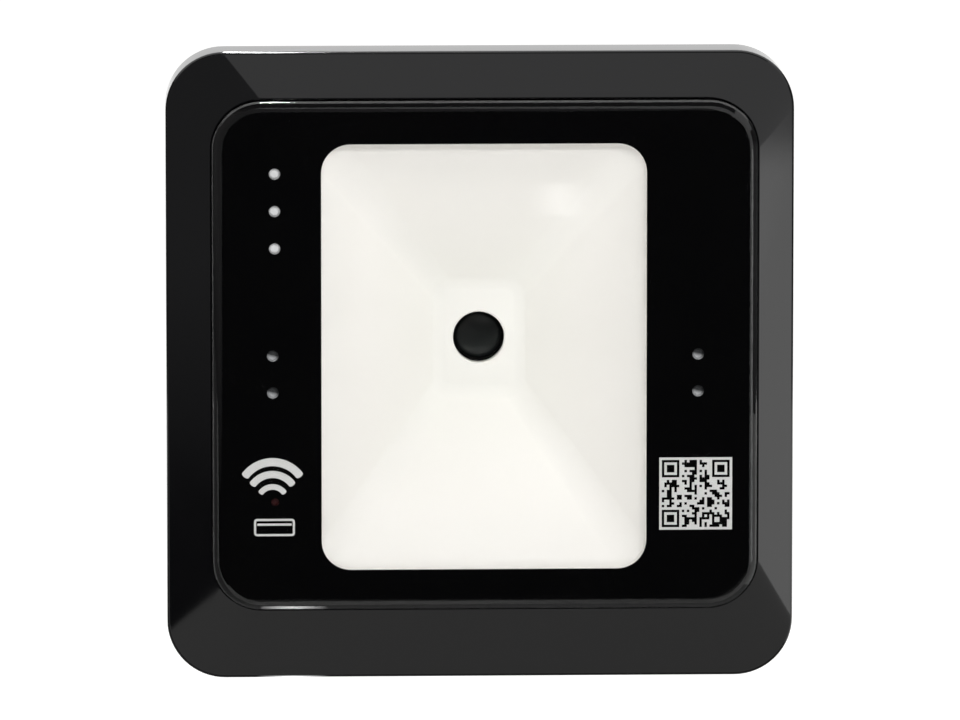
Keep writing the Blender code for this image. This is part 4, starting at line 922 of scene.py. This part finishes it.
def makeCards(many):
    for name, c in many.items():
        # a card faces the object from its direction, or lies flat at its place
        turn = Quaternion((0, 0, 1), math.radians(c.get("turn", 0)))
        place = Vector(c.get("at", (0, 0, 0)))
        if "at" not in c:
            away = directionOf(c)
            turn = away.to_track_quat("Z", "Y") @ turn
            place = away * c["distance"]
        bpy.ops.object.select_all(action="DESELECT")
        bpy.ops.mesh.primitive_plane_add(size=1, location=place, rotation=turn.to_euler())
        card = bpy.context.object
        card.name = name
        card.scale = (c["width"], c["height"], 1)
        bpy.ops.object.transform_apply(location=True, rotation=True, scale=True)
        card.visible_camera = False
        card.visible_shadow = False
        card.visible_diffuse = False
        material = bpy.data.materials.new(name + " felt")
        material.use_nodes = True
        tree = material.node_tree
        tree.nodes.remove(tree.nodes["Principled BSDF"])
        coords = addNode(tree, "ShaderNodeTexCoord")
        split = addNode(tree, "ShaderNodeSeparateXYZ", {}, {"Vector": coords.outputs["Object"]})
        fade = c.get("fade", (-1, 0))  # heights between which its glow changes
        shade = addNode(tree, "ShaderNodeMapRange",
                        {"From Min": fade[0], "From Max": fade[1],
                         "To Min": c["glow"], "To Max": c.get("topGlow", c["glow"])},
                        {"Value": split.outputs["Z"]})
        felt = addNode(tree, "ShaderNodeEmission", {"Color": (1, 1, 1, 1)},
                       {"Strength": shade.outputs["Result"]})
        surface = felt
        if c.get("soft"):
            # a glow that thins out sideways, with nothing behind it hidden
            across = Vector((1, 0, 0)) if "centre" in c else turn @ Vector((1, 0, 0))
            along = addNode(tree, "ShaderNodeVectorMath", {"operation": "DOT_PRODUCT", 1: across},
                            {0: coords.outputs["Object"]})
            middle = c.get("centre", across.dot(place))
            off = addNode(tree, "ShaderNodeMath", {"operation": "SUBTRACT", 1: middle},
                          {0: along.outputs["Value"]})
            size = addNode(tree, "ShaderNodeMath", {"operation": "ABSOLUTE"}, {0: off.outputs[0]})
            thin = addNode(tree, "ShaderNodeMapRange", {"From Min": 0.0, "From Max": c["soft"],
                                                       "To Min": c["glow"], "To Max": 0.0},
                           {"Value": size.outputs[0]})
            tree.links.new(thin.outputs["Result"], felt.inputs["Strength"])
            clear = addNode(tree, "ShaderNodeBsdfTransparent")
            surface = addNode(tree, "ShaderNodeAddShader", {}, {0: felt.outputs[0], 1: clear.outputs[0]})
        tree.links.new(surface.outputs[0], tree.nodes["Material Output"].inputs["Surface"])
        card.data.materials.append(material)


makeCards(cards)

lamps = {
    "key_top": {"azimuth": 8, "elevation": 23.5, "distance": 1.3, "width": 0.9, "height": 0.10,
                "level": 26.0, "gloss": False},
    "fill_low": {"azimuth": 4, "elevation": -22, "distance": 1.3, "width": 0.8, "height": 0.5,
                 "level": 6.2, "gloss": False},
    "box_right": {"azimuth": 74, "elevation": -9.4, "distance": 0.42, "width": 0.18, "height": 0.11,
                  "level": 1.25, "gloss": True},
    "fill_left": {"azimuth": -50, "elevation": 20, "distance": 1.3, "width": 0.8, "height": 0.8,
                  "level": 1.9, "gloss": False},
}


def makeLights(many):
    for name, l in many.items():
        away = directionOf(l)
        data = bpy.data.lights.new(name, "AREA")
        data.shape = "RECTANGLE"
        data.size = l["width"]
        data.size_y = l["height"]
        data.energy = l["level"] * 4 * l["width"] * l["height"]
        light = bpy.data.objects.new(name, data)
        bpy.context.scene.collection.objects.link(light)
        light.location = away * l["distance"]
        light.rotation_euler = away.to_track_quat("Z", "Y").to_euler()
        light.visible_glossy = l["gloss"]
        light.visible_transmission = False


makeLights(lamps)

view = {"azimuth": -2.1, "elevation": 7.8, "distance": 1.486, "lens": 404.4, "right": 0.000266, "up": -0.0004}


def makeCamera(v):
    away = directionOf(v)
    data = bpy.data.cameras.new("camera")
    data.lens = v["lens"]
    data.sensor_width = 36.0
    data.clip_start = 0.05
    camera = bpy.data.objects.new("camera", data)
    bpy.context.scene.collection.objects.link(camera)
    turn = away.to_track_quat("Z", "Y")
    aim = Vector((0, panelY, 0)) + turn @ Vector((v["right"], v["up"], 0))
    camera.location = aim + away * v["distance"]
    camera.rotation_euler = turn.to_euler()
    bpy.context.scene.camera = camera


makeCamera(view)
bpy.context.scene.view_settings.view_transform = "Standard"
print("stage, light and camera made")
